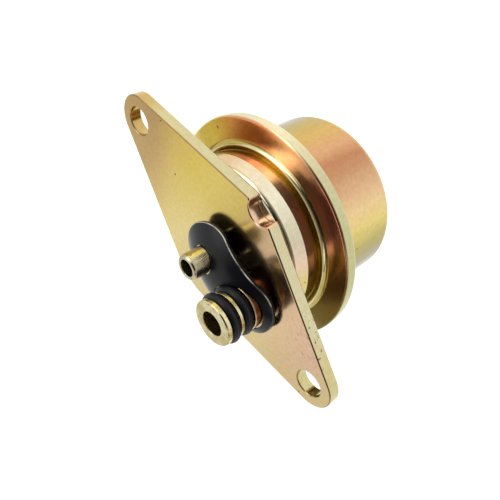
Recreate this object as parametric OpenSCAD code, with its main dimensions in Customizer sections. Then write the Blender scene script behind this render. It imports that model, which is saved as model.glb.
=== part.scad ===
// Flange-mounted diaphragm fuel pressure regulator.
// Z runs along the body axis and points out of the mounting face, towards the fuel nipples.
// The origin lies on that face, midway between the two bolt holes, which are along X.

/* [Mounting flange] */
// Thickness of the flange plate
flange_t = 2.8; // [2:0.1:5]
// Distance between the two bolt holes
hole_spacing = 68; // [62:0.5:80]
// Diameter of each bolt hole
hole_d = 6.6; // [5:0.1:8]
// Radius of the rounded tip round each bolt hole
tip_r = 6; // [5:0.1:9]
// Distance from the hole line to the plain side corner
plain_reach = 20.7; // [18:0.1:25]
// Distance from the hole line to the notched side corner
notch_reach = 19.1; // [18:0.1:25]
// Radius of the two side corners
side_corner_r = 12; // [8:0.5:16]
// Radius of the locating notch
notch_r = 3.1; // [2:0.1:4]
// Depth of the locating notch below the side corner
notch_depth = 3.2; // [2:0.1:5]

/* [Lower housing] */
// Outer radius of the housing wall behind the flange
housing_r = 19.5; // [18.5:0.1:21]
// Sheet thickness of the housing
housing_t = 0.9; // [0.6:0.05:1.2]
// Radius of the rounded edge beside the flange
housing_edge_r = 1.3; // [1.3:0.1:2.5]
// Height of the tapered shoulder between the flange and the straight wall
shoulder_h = 3.5; // [3:0.1:4.5]
// Taper of the shoulder, in degrees from the axis
shoulder_taper = 13; // [8:1:18]
// Radius of the fillet where the wall meets the clamped flange
housing_root_r = 1.2; // [0.8:0.1:1.7]
// Distance from the back of the flange to the front of the crimp
crimp_depth = 7.4; // [7:0.1:9]

/* [Spring can] */
// Outer radius of the can
can_r = 19.8; // [18.5:0.05:20.5]
// Sheet thickness of the can and its crimp
can_t = 0.9; // [0.6:0.05:1.2]
// Length of the can behind the crimp
can_len = 20.8; // [17:0.1:26]
// Radius of the rounded edge at the closed end
can_edge_r = 2.5; // [1.4:0.1:4]
// Radius of the fillet where the can meets its crimped rim
can_root_r = 1.2; // [0.8:0.1:2]
// Width of the crimped rim beyond the root of the housing wall
crimp_w = 5.7; // [5:0.1:7]
// Radius of the rear fold of the crimped rim
crimp_edge_r = 1.1; // [0.5:0.05:1.4]
// Radius of the front fold, pressed tight by the crimping tool
lip_edge_r = 0.6; // [0.2:0.05:0.8]
// Gap between the folded lip and the root of the housing wall
lip_gap = 0.6; // [0.2:0.05:1]
// Radial room round the clamped flange inside the crimp
crimp_room = 0.2; // [0.1:0.05:0.4]

/* [Inlet nipple] */
// Distance of the inlet nipple from the body axis
nipple_x = 12.5; // [11:0.1:13]
// Height of the inlet nipple above the mounting face
nipple_len = 11.5; // [10.5:0.1:16]
// Diameter of the collar at the tip
tip_collar_d = 10.6; // [10:0.1:11.4]
// Thickness of the collar at the tip
tip_collar_t = 1.1; // [0.8:0.1:2]
// Chamfer of the tip collar
tip_chamfer = 0.25; // [0.1:0.05:0.5]
// Width of each seal groove
groove_w = 2.65; // [2.5:0.05:3]
// Diameter of the land between the two grooves
land_d = 10.3; // [9.6:0.1:11]
// Thickness of the land between the two grooves
land_t = 0.8; // [0.5:0.1:1.5]
// Diameter of the collar that stands on the flange
base_collar_d = 11; // [10:0.1:12]
// Diameter of the spigot that passes through the flange
nipple_spigot_d = 8.4; // [7.6:0.1:9.6]
// Length of the spigot past the inside of the housing
nipple_spigot_end = 0.6; // [0.3:0.1:1]
// Diameter of the fuel bore
nipple_bore_d = 5.7; // [4.8:0.1:6]
// Diameter of the narrower inner end of the fuel bore
nipple_orifice_d = 4; // [3:0.1:4.6]
// Depth of the wide part of the fuel bore
nipple_bore_depth = 8.5; // [6:0.1:10]

/* [Seals] */
// Outer diameter of each sealing ring
seal_od = 11.6; // [11.4:0.1:12.6]
// Cord diameter of each sealing ring
seal_cord_d = 2.3; // [2:0.05:2.4]
// Gap between a sealing ring and the floor of its groove
seal_fit = 0.05; // [0:0.01:0.1]

/* [Flange gasket] */
// Thickness of the gasket sheet
gasket_t = 0.6; // [0.4:0.1:1]
// Radius of the two round ends of the gasket
gasket_r = 7.6; // [7:0.1:8.5]
// Gap between the gasket and the return tube
gasket_tube_gap = 0.45; // [0.4:0.05:1]
// Gap between the gasket and the sealing ring that it surrounds
gasket_seal_gap = 0.15; // [0.1:0.05:0.4]
// Sideways play that the loose gasket has taken up, along Y
gasket_play_y = -0.25; // [-0.3:0.05:0]
// Radius to which the gasket has bowed along X
gasket_bow_r = 28; // [24:0.5:40]
// Radius to which the gasket has cupped across its width
gasket_cup_r = 13; // [11:0.5:20]
// Place of the gasket's highest point along X
gasket_crest_x = 5.1; // [3:0.1:7]
// Place of the gasket's highest point along Y
gasket_crest_y = -0.6; // [-1:0.1:1]
// Height of that point above the flange
gasket_crest_z = 6.1; // [5:0.1:7]

/* [Return tube and seat] */
// Outer diameter of the return tube
tube_d = 6; // [5.4:0.1:6.6]
// Height of the return tube above the mounting face
tube_len = 9.6; // [8:0.1:14]
// Bore of the return tube
tube_bore_d = 4; // [3.4:0.1:4.2]
// Chamfer of the return tube's end
tube_chamfer = 0.35; // [0.1:0.05:0.5]
// Diameter of the spigot of the return tube below its shoulder
tube_spigot_d = 5.4; // [5:0.1:5.8]
// Diameter of the valve seat
seat_d = 8.4; // [7.4:0.1:9]
// Length of the valve seat
seat_len = 3.4; // [3:0.1:4]
// Depth by which the tube's spigot enters the valve seat
seat_grip = 1.6; // [1:0.1:2]
// Diameter of the seat's orifice
seat_orifice_d = 3.2; // [2.4:0.1:3.4]
// Width of the sealing lip round the orifice
seat_lip_w = 0.5; // [0.3:0.05:0.6]
// Height of the sealing lip
seat_lip_h = 0.2; // [0.1:0.05:0.3]

/* [Valve] */
// Radius of the valve ball
ball_r = 2.8; // [2.7:0.05:3]
// Height of the ball's flat above its centre
ball_flat_h = 1.6; // [1.4:0.05:1.65]
// Height of the seat's sealing lip above the diaphragm
valve_height = 2.4; // [2.3:0.05:3]
// Side gap between the ball and its holder
ball_gap = 0.1; // [0.05:0.01:0.15]
// Gap between the ball and the cone that it rests in
cone_gap = 0.04; // [0.02:0.01:0.08]
// Wall of the holder round the ball
holder_wall = 1.5; // [1:0.1:1.8]
// Radius of the holder's flange
holder_flange_r = 6; // [5.6:0.1:8]
// Thickness of the holder's flange
holder_flange_t = 0.6; // [0.5:0.05:1]
// Height of the holder's rim above its flange
holder_rim_h = 0.35; // [0.1:0.05:0.5]
// Radius of the rim peened over the spring plate
peen_r = 5.2; // [4.9:0.1:6]
// Thickness of the peened rim
peen_t = 0.7; // [0.5:0.05:1]
// Radius of the pocket for the ball's spring
pocket_r = 1.95; // [1.85:0.05:2]
// Depth of that pocket below the cone
pocket_depth = 3.3; // [3:0.1:4]
// Wall round and under that pocket
pocket_wall = 1; // [0.6:0.1:1.5]
// Thickness of the ring that holds the ball in
retainer_t = 0.35; // [0.2:0.05:0.4]
// Hole radius of the ring that holds the ball in
retainer_hole_r = 2.72; // [2.68:0.01:2.76]
// Wire diameter of the ball's spring
ball_wire_d = 0.5; // [0.3:0.05:0.5]
// Mean radius of the ball's spring
ball_coil_r = 1.45; // [1.3:0.05:1.5]
// Turns of the ball's spring
ball_turns = 3; // [2:0.5:3]

/* [Diaphragm and main spring] */
// Thickness of the diaphragm
diaphragm_t = 0.4; // [0.3:0.05:0.8]
// Radial gap of the diaphragm's hole round the holder
diaphragm_hole_gap = 0.3; // [0.1:0.05:0.5]
// Thickness of the washer on the fuel side of the diaphragm
washer_t = 0.8; // [0.6:0.05:1]
// Radius of the washer on the fuel side of the diaphragm
washer_r = 13; // [11:0.1:14]
// Thickness of the spring plate
plate_t = 0.9; // [0.6:0.05:1.2]
// Height of the rim that centres the spring on its plate
plate_rim_h = 2.2; // [1.5:0.1:3]
// Wire diameter of the main spring
wire_d = 2.4; // [1.8:0.1:2.6]
// Mean radius of the main spring
coil_r = 12; // [11:0.1:12.4]
// Active turns of the main spring
active_turns = 2.5; // [2:0.25:3]
// Gap between the main spring and the parts that centre it
coil_gap = 0.4; // [0.2:0.05:0.6]
// Thickness of the spring seat in the end of the can
spring_seat_t = 0.8; // [0.5:0.05:1.2]
// Height of the spring seat's raised middle
spring_seat_h = 1.6; // [1.2:0.1:2.5]
// Hole radius of the spring seat
spring_seat_hole_r = 5; // [4.2:0.1:6]

/* [Vacuum nipple] */
// Length of the vacuum nipple beyond the end of the can
vacuum_len = 11; // [9:0.5:18]
// Diameter of its stem
vacuum_d = 4.6; // [4:0.1:5]
// Diameter of its hose bead
vacuum_bead_d = 5.6; // [5.2:0.1:6]
// Diameter of its bore
vacuum_bore_d = 2.6; // [1.5:0.1:3]
// Radius of the shoulder that seats on the can
vacuum_flange_r = 4.5; // [4:0.1:6]
// Thickness of that shoulder
vacuum_flange_t = 1.2; // [0.8:0.1:2]
// Radius of its spigot in the end of the can
vacuum_spigot_r = 2.6; // [2.2:0.1:3]
// Radius of the spigot's rim swaged inside the can
vacuum_swage_r = 3.4; // [3.2:0.1:3.8]
// Thickness of the swaged rim
vacuum_swage_t = 0.5; // [0.3:0.05:0.8]

/* [Hidden] */
$fn = 96;
yellow_zinc = "#c9b45f";
pale_zinc = "#d8c98a";
turned_steel = "#b9b6ac";
spring_steel = "#6f6c68";
black_rubber = "#1c1c1f";
// Overrun of a cutting tool past the face that it cuts
overrun = 1;
// Steps used along a rounded edge
edge_steps = 8;
// Steps used along a tip or a side corner of the flange
outline_steps = 24;

// Levels along Z, from the mounting face down to the end of the can
housing_z = -flange_t;
lip_z = housing_z - crimp_depth;
clamp_z = lip_z - can_t;
diaphragm_z = clamp_z - housing_t;
rim_z = diaphragm_z - diaphragm_t;
crimp_back_z = rim_z - can_t;
can_end_z = crimp_back_z - can_len;
can_floor_z = can_end_z + can_t;

// Radii of the housing's root and the crimp
root_r = housing_r + housing_root_r;
crimp_r = root_r + crimp_w;
crimp_inner_r = crimp_r - can_t;
clamped_r = crimp_inner_r - crimp_room;
lip_r = root_r + lip_gap;

// Valve train, from the seat down
seat_z = diaphragm_z + valve_height;
seat_face_z = seat_z + seat_lip_h;
seat_top_z = seat_face_z + seat_len;
tube_end_z = seat_top_z - seat_grip;
ball_z = seat_z - ball_flat_h;
washer_z = diaphragm_z + washer_t;
holder_flange_z = washer_z + holder_flange_t;
holder_rim_z = holder_flange_z + holder_rim_h;
plate_z = rim_z;
plate_under_z = plate_z - plate_t;
cavity_r = ball_r + ball_gap;
holder_r = cavity_r + holder_wall;
// A cone at 45 degrees touches the ball where radius and depth add up to this
cone_sum = (ball_r + cone_gap) * sqrt(2);
cone_top_z = ball_z - (cone_sum - cavity_r);
cone_end_z = ball_z - (cone_sum - pocket_r);
pocket_z = cone_end_z - pocket_depth;
ball_coil_top_z = ball_z - sqrt(pow(ball_r + ball_wire_d / 2, 2) - pow(ball_coil_r, 2));

// Inlet nipple, from the tip down
tip_groove_z = nipple_len - tip_collar_t;
land_z = tip_groove_z - groove_w;
rear_groove_z = land_z - land_t;
base_collar_z = rear_groove_z - groove_w;
groove_r = seal_od / 2 - seal_cord_d - seal_fit;
nipple_end_z = housing_z - housing_t - nipple_spigot_end;

// Main spring between its plate and its seat
spring_seat_z = can_floor_z + spring_seat_t;
coil_outer_r = coil_r + wire_d / 2;
coil_inner_r = coil_r - wire_d / 2;
plate_rim_r = coil_outer_r + coil_gap;
spring_plug_r = coil_inner_r - coil_gap;
closed_pitch = wire_d * 1.08;

// Points of an arc of radius r round [x, y], from angle a0 to angle a1
function arc(x, y, r, a0, a1, steps = edge_steps) = [
    for (i = [0:steps])
        let (a = a0 + (a1 - a0) * i / steps)
            [x + r * cos(a), y + r * sin(a)]
];

// Direction of the outward normal of the line that touches two circles on their upper side
function touch_angle(x1, y1, r1, x2, y2, r2) =
    atan2(y2 - y1, x2 - x1) + acos((r1 - r2) / norm([x2 - x1, y2 - y1]));

// Ring of points round a helix of radius r that has turned by a, at height z
function wire_ring(r, a, z, wire_r, sides) = [
    for (i = [0:sides - 1])
        let (b = 360 * i / sides, d = r + wire_r * cos(b))
            [d * cos(a), d * sin(a), z + wire_r * sin(b)]
];

// Height gained by a coil that starts and ends with one closed turn
function coil_rise(turn, turns, closed, rise) =
    let (open = turns - 2, pitch = (rise - 2 * closed) / open)
        turn < 1 ? closed * turn
            : turn < turns - 1 ? closed + pitch * (turn - 1)
            : rise - closed * (turns - turn);

// Wire swept along the given list of rings, closed at both ends
module swept_wire(rings, sides) {
    last = len(rings) - 1;
    points = [for (ring = rings) for (p = ring) p];
    walls = [
        for (k = [0:last - 1])
            for (i = [0:sides - 1])
                let (j = (i + 1) % sides)
                    [k * sides + i, (k + 1) * sides + i, (k + 1) * sides + j, k * sides + j]
    ];
    first_cap = [for (i = [0:sides - 1]) i];
    last_cap = [for (i = [sides - 1:-1:0]) last * sides + i];
    polyhedron(points, concat(walls, [first_cap, last_cap]), convexity = 10);
}

// Diamond outline with round tips and round side corners
module flange_outline() {
    tip_x = hole_spacing / 2;
    notch_side_y = notch_reach - side_corner_r;
    plain_side_y = plain_reach - side_corner_r;
    a = touch_angle(0, notch_side_y, side_corner_r, tip_x, 0, tip_r);
    b = touch_angle(0, plain_side_y, side_corner_r, tip_x, 0, tip_r);
    polygon(concat(
        arc(tip_x, 0, tip_r, -b, a, outline_steps),
        arc(0, notch_side_y, side_corner_r, a, 180 - a, outline_steps),
        arc(-tip_x, 0, tip_r, 180 - a, 180 + b, outline_steps),
        arc(0, -plain_side_y, side_corner_r, 180 + b, 360 - b, outline_steps)
    ));
}

module mounting_flange() {
    color(yellow_zinc)
        difference() {
            translate([0, 0, -flange_t])
                linear_extrude(flange_t)
                    flange_outline();
            for (side = [-1, 1])
                translate([side * hole_spacing / 2, 0, -flange_t - overrun])
                    cylinder(d = hole_d, h = flange_t + 2 * overrun);
            translate([0, notch_reach - notch_depth + notch_r, -flange_t - overrun])
                cylinder(r = notch_r, h = flange_t + 2 * overrun);
            translate([0, 0, -flange_t - overrun])
                cylinder(d = tube_spigot_d, h = flange_t + 2 * overrun);
            translate([nipple_x, 0, -flange_t - overrun])
                cylinder(d = nipple_spigot_d, h = flange_t + 2 * overrun);
        }
}

module lower_housing() {
    inner_edge_r = housing_edge_r - housing_t;
    root_z = clamp_z + housing_root_r;
    edge_z = housing_z - housing_edge_r;
    taper_in = housing_edge_r + (shoulder_h - housing_edge_r) * sin(shoulder_taper);
    edge_x = housing_r - taper_in / cos(shoulder_taper);
    crease_z = housing_z - shoulder_h;
    inner_crease_z = crease_z - housing_t * tan(shoulder_taper / 2);
    color(yellow_zinc)
        difference() {
            rotate_extrude()
                polygon(concat(
                    [[tube_spigot_d / 2, housing_z]],
                    arc(edge_x, edge_z, housing_edge_r, 90, shoulder_taper),
                    [[housing_r, crease_z]],
                    arc(root_r, root_z, housing_root_r, 180, 270),
                    [
                        [clamped_r, clamp_z],
                        [clamped_r, diaphragm_z]
                    ],
                    arc(root_r, root_z, housing_root_r + housing_t, 270, 180),
                    [[housing_r - housing_t, inner_crease_z]],
                    arc(edge_x, edge_z, inner_edge_r, shoulder_taper, 90),
                    [[tube_spigot_d / 2, housing_z - housing_t]]
                ));
            translate([nipple_x, 0, housing_z - housing_t - overrun])
                cylinder(d = nipple_spigot_d, h = housing_t + 2 * overrun);
        }
}

module spring_can() {
    inner_edge_r = can_edge_r - can_t;
    color(yellow_zinc)
        rotate_extrude()
            polygon(concat(
                [[lip_r, lip_z]],
                arc(crimp_r - lip_edge_r, lip_z - lip_edge_r, lip_edge_r, 90, 0),
                arc(crimp_r - crimp_edge_r, crimp_back_z + crimp_edge_r, crimp_edge_r, 0, -90),
                arc(can_r + can_root_r, crimp_back_z - can_root_r, can_root_r, 90, 180),
                arc(can_r - can_edge_r, can_end_z + can_edge_r, can_edge_r, 0, -90),
                [
                    [vacuum_spigot_r, can_end_z],
                    [vacuum_spigot_r, can_floor_z]
                ],
                arc(can_r - can_edge_r, can_end_z + can_edge_r, inner_edge_r, -90, 0),
                [
                    [can_r - can_t, rim_z],
                    [crimp_inner_r, rim_z],
                    [crimp_inner_r, clamp_z],
                    [lip_r, clamp_z]
                ]
            ));
}

module vacuum_nipple() {
    stem_r = vacuum_d / 2;
    bead_r = vacuum_bead_d / 2;
    bead_h = bead_r - stem_r;
    shoulder_z = can_end_z - vacuum_flange_t;
    tip_z = can_end_z - vacuum_len;
    nose_h = 4 * bead_h;
    color(pale_zinc)
        rotate_extrude()
            polygon([
                [vacuum_bore_d / 2, can_floor_z + vacuum_swage_t],
                [vacuum_swage_r, can_floor_z + vacuum_swage_t],
                [vacuum_swage_r, can_floor_z],
                [vacuum_spigot_r, can_floor_z],
                [vacuum_spigot_r, can_end_z],
                [vacuum_flange_r, can_end_z],
                [vacuum_flange_r, shoulder_z],
                [stem_r, shoulder_z],
                [stem_r, tip_z + nose_h + 2 * bead_h],
                [bead_r, tip_z + nose_h + bead_h],
                [bead_r, tip_z + nose_h],
                [stem_r - bead_h, tip_z],
                [vacuum_bore_d / 2, tip_z]
            ]);
}

module inlet_nipple() {
    bore_end_z = nipple_len - nipple_bore_depth;
    color(pale_zinc)
        translate([nipple_x, 0])
            rotate_extrude()
                polygon([
                    [nipple_bore_d / 2, nipple_len],
                    [tip_collar_d / 2 - tip_chamfer, nipple_len],
                    [tip_collar_d / 2, nipple_len - tip_chamfer],
                    [tip_collar_d / 2, tip_groove_z],
                    [groove_r, tip_groove_z],
                    [groove_r, land_z],
                    [land_d / 2, land_z],
                    [land_d / 2, rear_groove_z],
                    [groove_r, rear_groove_z],
                    [groove_r, base_collar_z],
                    [base_collar_d / 2, base_collar_z],
                    [base_collar_d / 2, 0],
                    [nipple_spigot_d / 2, 0],
                    [nipple_spigot_d / 2, nipple_end_z],
                    [nipple_orifice_d / 2, nipple_end_z],
                    [nipple_orifice_d / 2, bore_end_z],
                    [nipple_bore_d / 2, bore_end_z]
                ]);
}

module return_tube() {
    color(pale_zinc)
        rotate_extrude()
            polygon([
                [tube_bore_d / 2, tube_len],
                [tube_d / 2 - tube_chamfer, tube_len],
                [tube_d / 2, tube_len - tube_chamfer],
                [tube_d / 2, 0],
                [tube_spigot_d / 2, 0],
                [tube_spigot_d / 2, tube_end_z],
                [tube_bore_d / 2, tube_end_z]
            ]);
}

module valve_seat() {
    color(turned_steel)
        rotate_extrude()
            polygon([
                [tube_spigot_d / 2, seat_top_z],
                [seat_d / 2, seat_top_z],
                [seat_d / 2, seat_face_z],
                [seat_orifice_d / 2 + seat_lip_w, seat_face_z],
                [seat_orifice_d / 2 + seat_lip_w, seat_z],
                [seat_orifice_d / 2, seat_z],
                [seat_orifice_d / 2, tube_end_z],
                [tube_spigot_d / 2, tube_end_z]
            ]);
}

// Rubber ring in the middle of the groove whose upper wall is at the given height
module sealing_ring(groove_top_z) {
    color(black_rubber)
        translate([nipple_x, 0, groove_top_z - groove_w / 2])
            rotate_extrude()
                translate([seal_od / 2 - seal_cord_d / 2, 0])
                    circle(d = seal_cord_d, $fn = 48);
}

module front_o_ring() {
    sealing_ring(tip_groove_z);
}

module rear_o_ring() {
    sealing_ring(rear_groove_z);
}

// Outline with two round ends, one round the return tube and one round the inlet nipple
module gasket_outline() {
    circle(r = gasket_r);
    translate([nipple_x, 0])
        circle(r = gasket_r);
    translate([0, -gasket_r])
        square([nipple_x, 2 * gasket_r]);
}

module flange_gasket() {
    ring_r = gasket_bow_r - gasket_cup_r;
    sheet_h = gasket_crest_z + overrun;
    color(black_rubber)
        difference() {
            intersection() {
                linear_extrude(sheet_h)
                    gasket_outline();
                translate([gasket_crest_x, gasket_crest_y, gasket_crest_z - gasket_bow_r])
                    rotate([90, 0, 0])
                        rotate_extrude()
                            translate([ring_r, 0])
                                intersection() {
                                    difference() {
                                        circle(r = gasket_cup_r);
                                        circle(r = gasket_cup_r - gasket_t);
                                    }
                                    translate([0, -gasket_cup_r])
                                        square([gasket_cup_r, 2 * gasket_cup_r]);
                                }
            }
            translate([0, gasket_play_y, -overrun])
                cylinder(r = tube_d / 2 + gasket_tube_gap, h = sheet_h + 2 * overrun);
            translate([nipple_x, gasket_play_y, -overrun])
                cylinder(r = seal_od / 2 + gasket_seal_gap, h = sheet_h + 2 * overrun);
        }
}

module diaphragm() {
    color(black_rubber)
        translate([0, 0, rim_z])
            difference() {
                cylinder(r = clamped_r, h = diaphragm_t);
                translate([0, 0, -overrun])
                    cylinder(r = holder_r + diaphragm_hole_gap, h = diaphragm_t + 2 * overrun);
            }
}

module diaphragm_washer() {
    color(turned_steel)
        rotate_extrude()
            polygon(concat(
                [
                    [holder_r, washer_z],
                    [holder_r, diaphragm_z]
                ],
                arc(washer_r - washer_t, washer_z, washer_t, -90, 0)
            ));
}

module spring_plate() {
    rim_outer_r = plate_rim_r + plate_t;
    color(turned_steel)
        rotate_extrude()
            polygon(concat(
                [[holder_r, plate_z]],
                arc(rim_outer_r - plate_t, plate_z - plate_t, plate_t, 90, 0),
                [
                    [rim_outer_r, plate_under_z - plate_rim_h],
                    [plate_rim_r, plate_under_z - plate_rim_h],
                    [plate_rim_r, plate_under_z],
                    [holder_r, plate_under_z]
                ]
            ));
}

module valve_holder() {
    color(turned_steel)
        rotate_extrude()
            polygon([
                [cavity_r, holder_rim_z],
                [holder_r, holder_rim_z],
                [holder_r, holder_flange_z],
                [holder_flange_r, holder_flange_z],
                [holder_flange_r, washer_z],
                [holder_r, washer_z],
                [holder_r, plate_under_z],
                [peen_r, plate_under_z],
                [peen_r, plate_under_z - peen_t],
                [pocket_r + pocket_wall, plate_under_z - peen_t],
                [pocket_r + pocket_wall, pocket_z - pocket_wall],
                [0, pocket_z - pocket_wall],
                [0, pocket_z],
                [pocket_r, pocket_z],
                [pocket_r, cone_end_z],
                [cavity_r, cone_top_z]
            ]);
}

module valve_ball() {
    color(turned_steel)
        translate([0, 0, ball_z])
            difference() {
                sphere(r = ball_r);
                translate([-ball_r, -ball_r, ball_flat_h])
                    cube([2 * ball_r, 2 * ball_r, ball_r]);
            }
}

module valve_retainer() {
    color(turned_steel)
        translate([0, 0, holder_rim_z])
            difference() {
                cylinder(r = holder_r, h = retainer_t);
                translate([0, 0, -overrun])
                    cylinder(r = retainer_hole_r, h = retainer_t + 2 * overrun);
            }
}

module ball_spring() {
    sides = 6;
    steps = 16;
    floor_z = pocket_z + ball_wire_d / 2;
    rise = ball_coil_top_z - floor_z;
    color(spring_steel)
        swept_wire([
            for (k = [0:ball_turns * steps])
                let (turn = k / steps)
                    wire_ring(ball_coil_r, 360 * turn, floor_z + rise * turn / ball_turns, ball_wire_d / 2, sides)
        ], sides);
}

module main_spring() {
    sides = 12;
    steps = 24;
    turns = active_turns + 2;
    floor_z = spring_seat_z + wire_d / 2;
    rise = plate_under_z - wire_d / 2 - floor_z;
    color(spring_steel)
        swept_wire([
            for (k = [0:turns * steps])
                let (turn = k / steps, z = floor_z + coil_rise(turn, turns, closed_pitch, rise))
                    wire_ring(coil_r, 360 * turn, z, wire_d / 2, sides)
        ], sides);
}

module spring_seat() {
    color(turned_steel)
        rotate_extrude()
            polygon([
                [spring_seat_hole_r, can_floor_z],
                [coil_outer_r + coil_gap, can_floor_z],
                [coil_outer_r + coil_gap, spring_seat_z],
                [spring_plug_r, spring_seat_z],
                [spring_plug_r, spring_seat_z + spring_seat_h],
                [spring_seat_hole_r, spring_seat_z + spring_seat_h]
            ]);
}

mounting_flange();
lower_housing();
spring_can();
vacuum_nipple();
inlet_nipple();
return_tube();
valve_seat();
front_o_ring();
rear_o_ring();
flange_gasket();
diaphragm();
diaphragm_washer();
spring_plate();
valve_holder();
valve_ball();
valve_retainer();
ball_spring();
main_spring();
spring_seat();
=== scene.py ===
"""Dresses a flange-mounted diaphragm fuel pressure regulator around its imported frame.

Every size is in millimetres in the frame of the part: Z runs out of the mounting face, X along the
bolt holes and +Y towards the locating notch. Meshes are written in metres.
"""

import logging
import math
from dataclasses import dataclass, field
from enum import Enum
from typing import Any

import bmesh
import bpy
import numpy as np
from mathutils import Matrix, Vector
from mathutils.geometry import delaunay_2d_cdt


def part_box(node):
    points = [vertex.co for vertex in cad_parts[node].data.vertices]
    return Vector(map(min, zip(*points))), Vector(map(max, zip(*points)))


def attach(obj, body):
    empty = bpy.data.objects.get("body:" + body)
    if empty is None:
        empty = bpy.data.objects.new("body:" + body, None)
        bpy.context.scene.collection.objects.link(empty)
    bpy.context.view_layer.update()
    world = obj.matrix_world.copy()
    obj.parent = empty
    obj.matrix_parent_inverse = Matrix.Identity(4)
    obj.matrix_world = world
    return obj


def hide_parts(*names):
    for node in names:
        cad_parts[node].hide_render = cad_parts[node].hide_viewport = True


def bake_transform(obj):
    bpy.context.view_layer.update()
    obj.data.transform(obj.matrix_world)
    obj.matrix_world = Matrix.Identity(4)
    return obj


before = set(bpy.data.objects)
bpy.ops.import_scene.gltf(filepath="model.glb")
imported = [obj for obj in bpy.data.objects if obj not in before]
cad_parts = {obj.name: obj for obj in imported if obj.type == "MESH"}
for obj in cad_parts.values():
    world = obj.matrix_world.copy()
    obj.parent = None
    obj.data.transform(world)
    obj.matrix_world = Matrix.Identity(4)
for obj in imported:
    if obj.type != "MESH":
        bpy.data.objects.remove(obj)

LOG = logging.getLogger("regulator")
MM = 0.001
Array = np.ndarray
Links = dict[Any, Any]
Place = tuple[float, float, float]
Stops = tuple[tuple[float, str], ...]
WHITE = (1.0, 1.0, 1.0, 1.0)
# Colour inputs of a Mix node, by number because their names stand for several inputs.
MIX_A, MIX_B = 6, 7
# Outputs of a Map Range node that falls from one to nought.
FADE_OUT = {"To Min": 1.0, "To Max": 0.0}
NO_POINTS = np.zeros((0, 2))


class Body(Enum):
    """Rigid bodies of the regulator that a piece can ride on."""

    HOUSING = "housing"
    VALVE = "valve"


class Drift(Enum):
    """Ways in which the tint of a plated film drifts over a piece."""

    ALONG_X = "along_x"
    ROUND_AXIS = "round_axis"


class Slot(Enum):
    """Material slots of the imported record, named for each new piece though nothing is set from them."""

    YELLOW_ZINC = "yellow_zinc"
    PALE_ZINC = "pale_zinc"
    SPRING_STEEL = "spring_steel"
    SEAL_RUBBER = "seal_rubber"
    GASKET_RUBBER = "gasket_rubber"


def linear(hex_colour: str) -> tuple[float, float, float, float]:
    """Turns an sRGB hex colour into linear values.

    Args:
        hex_colour: Six hex digits after a hash sign.

    Returns:
        Red, green, blue and an alpha of one.
    """
    srgb = np.array([int(hex_colour[i : i + 2], 16) for i in (1, 3, 5)]) / 255.0
    rgb = np.where(srgb <= 0.04045, srgb / 12.92, ((srgb + 0.055) / 1.055) ** 2.4)
    return (float(rgb[0]), float(rgb[1]), float(rgb[2]), 1.0)


def add_node(
    tree: bpy.types.NodeTree, kind: str, links: Links | None = None, **settings: Any
) -> bpy.types.Node:
    """Adds one node with its settings and links.

    Args:
        tree: Node tree that receives the node.
        kind: Blender's name of the node type, without "ShaderNode" in front.
        links: For each input, by name or number, its fixed value or what feeds it. That is a
            socket, or a node of which the first output in use is taken.
        settings: Properties of the node. "stops" holds the places and hex colours of a ramp.

    Returns:
        The new node.
    """
    node = tree.nodes.new("ShaderNode" + kind)
    # A new ramp has two stops of its own, which are set first.
    for place, (at, colour) in enumerate(settings.pop("stops", ())):
        elements = node.color_ramp.elements
        element = elements[place] if place < 2 else elements.new(at)
        element.position = at
        element.color = linear(colour)
    for key, value in settings.items():
        setattr(node, key, value)
    for key, value in (links or {}).items():
        if isinstance(value, bpy.types.Node):
            value = next(socket for socket in value.outputs if socket.enabled)
        if isinstance(value, bpy.types.NodeSocket):
            tree.links.new(value, node.inputs[key])
        else:
            node.inputs[key].default_value = value
    return node


def new_material(name: str) -> tuple[bpy.types.Material, bpy.types.NodeTree]:
    """Makes an empty procedural material.

    Args:
        name: Name of the real material.

    Returns:
        The material and its node tree.
    """
    material = bpy.data.materials.new(name)
    material.use_nodes = True
    material.node_tree.nodes.clear()
    return material, material.node_tree


def place_mm(tree: bpy.types.NodeTree) -> bpy.types.Node:
    """Adds the place on the part in millimetres, worked out from Object coordinates."""
    place = add_node(tree, "TexCoord").outputs["Object"]
    return add_node(tree, "VectorMath", {0: place, "Scale": 1 / MM}, operation="SCALE")


@dataclass(frozen=True)
class Film:
    """Tints of a chromate film along its drift, used above one height of the piece.

    Far tints, where given, take over towards the side of the piece at -Y. A patch is a round place
    in which the film has another tint, or painted light or shade. It fades out over the last quarter
    of its reach. Some tints also stand in for painted reflection, highlight and shade.
    """

    tints: Stops
    far_tints: Stops = ()
    above_mm: float = -1000.0
    fade_mm: float = 0.08
    tint_or_light_patch: str = ""
    tint_or_light_patch_at_mm: Place = (0.0, 0.0, 0.0)
    tint_or_light_patch_reach_mm: float = 4.0


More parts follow.
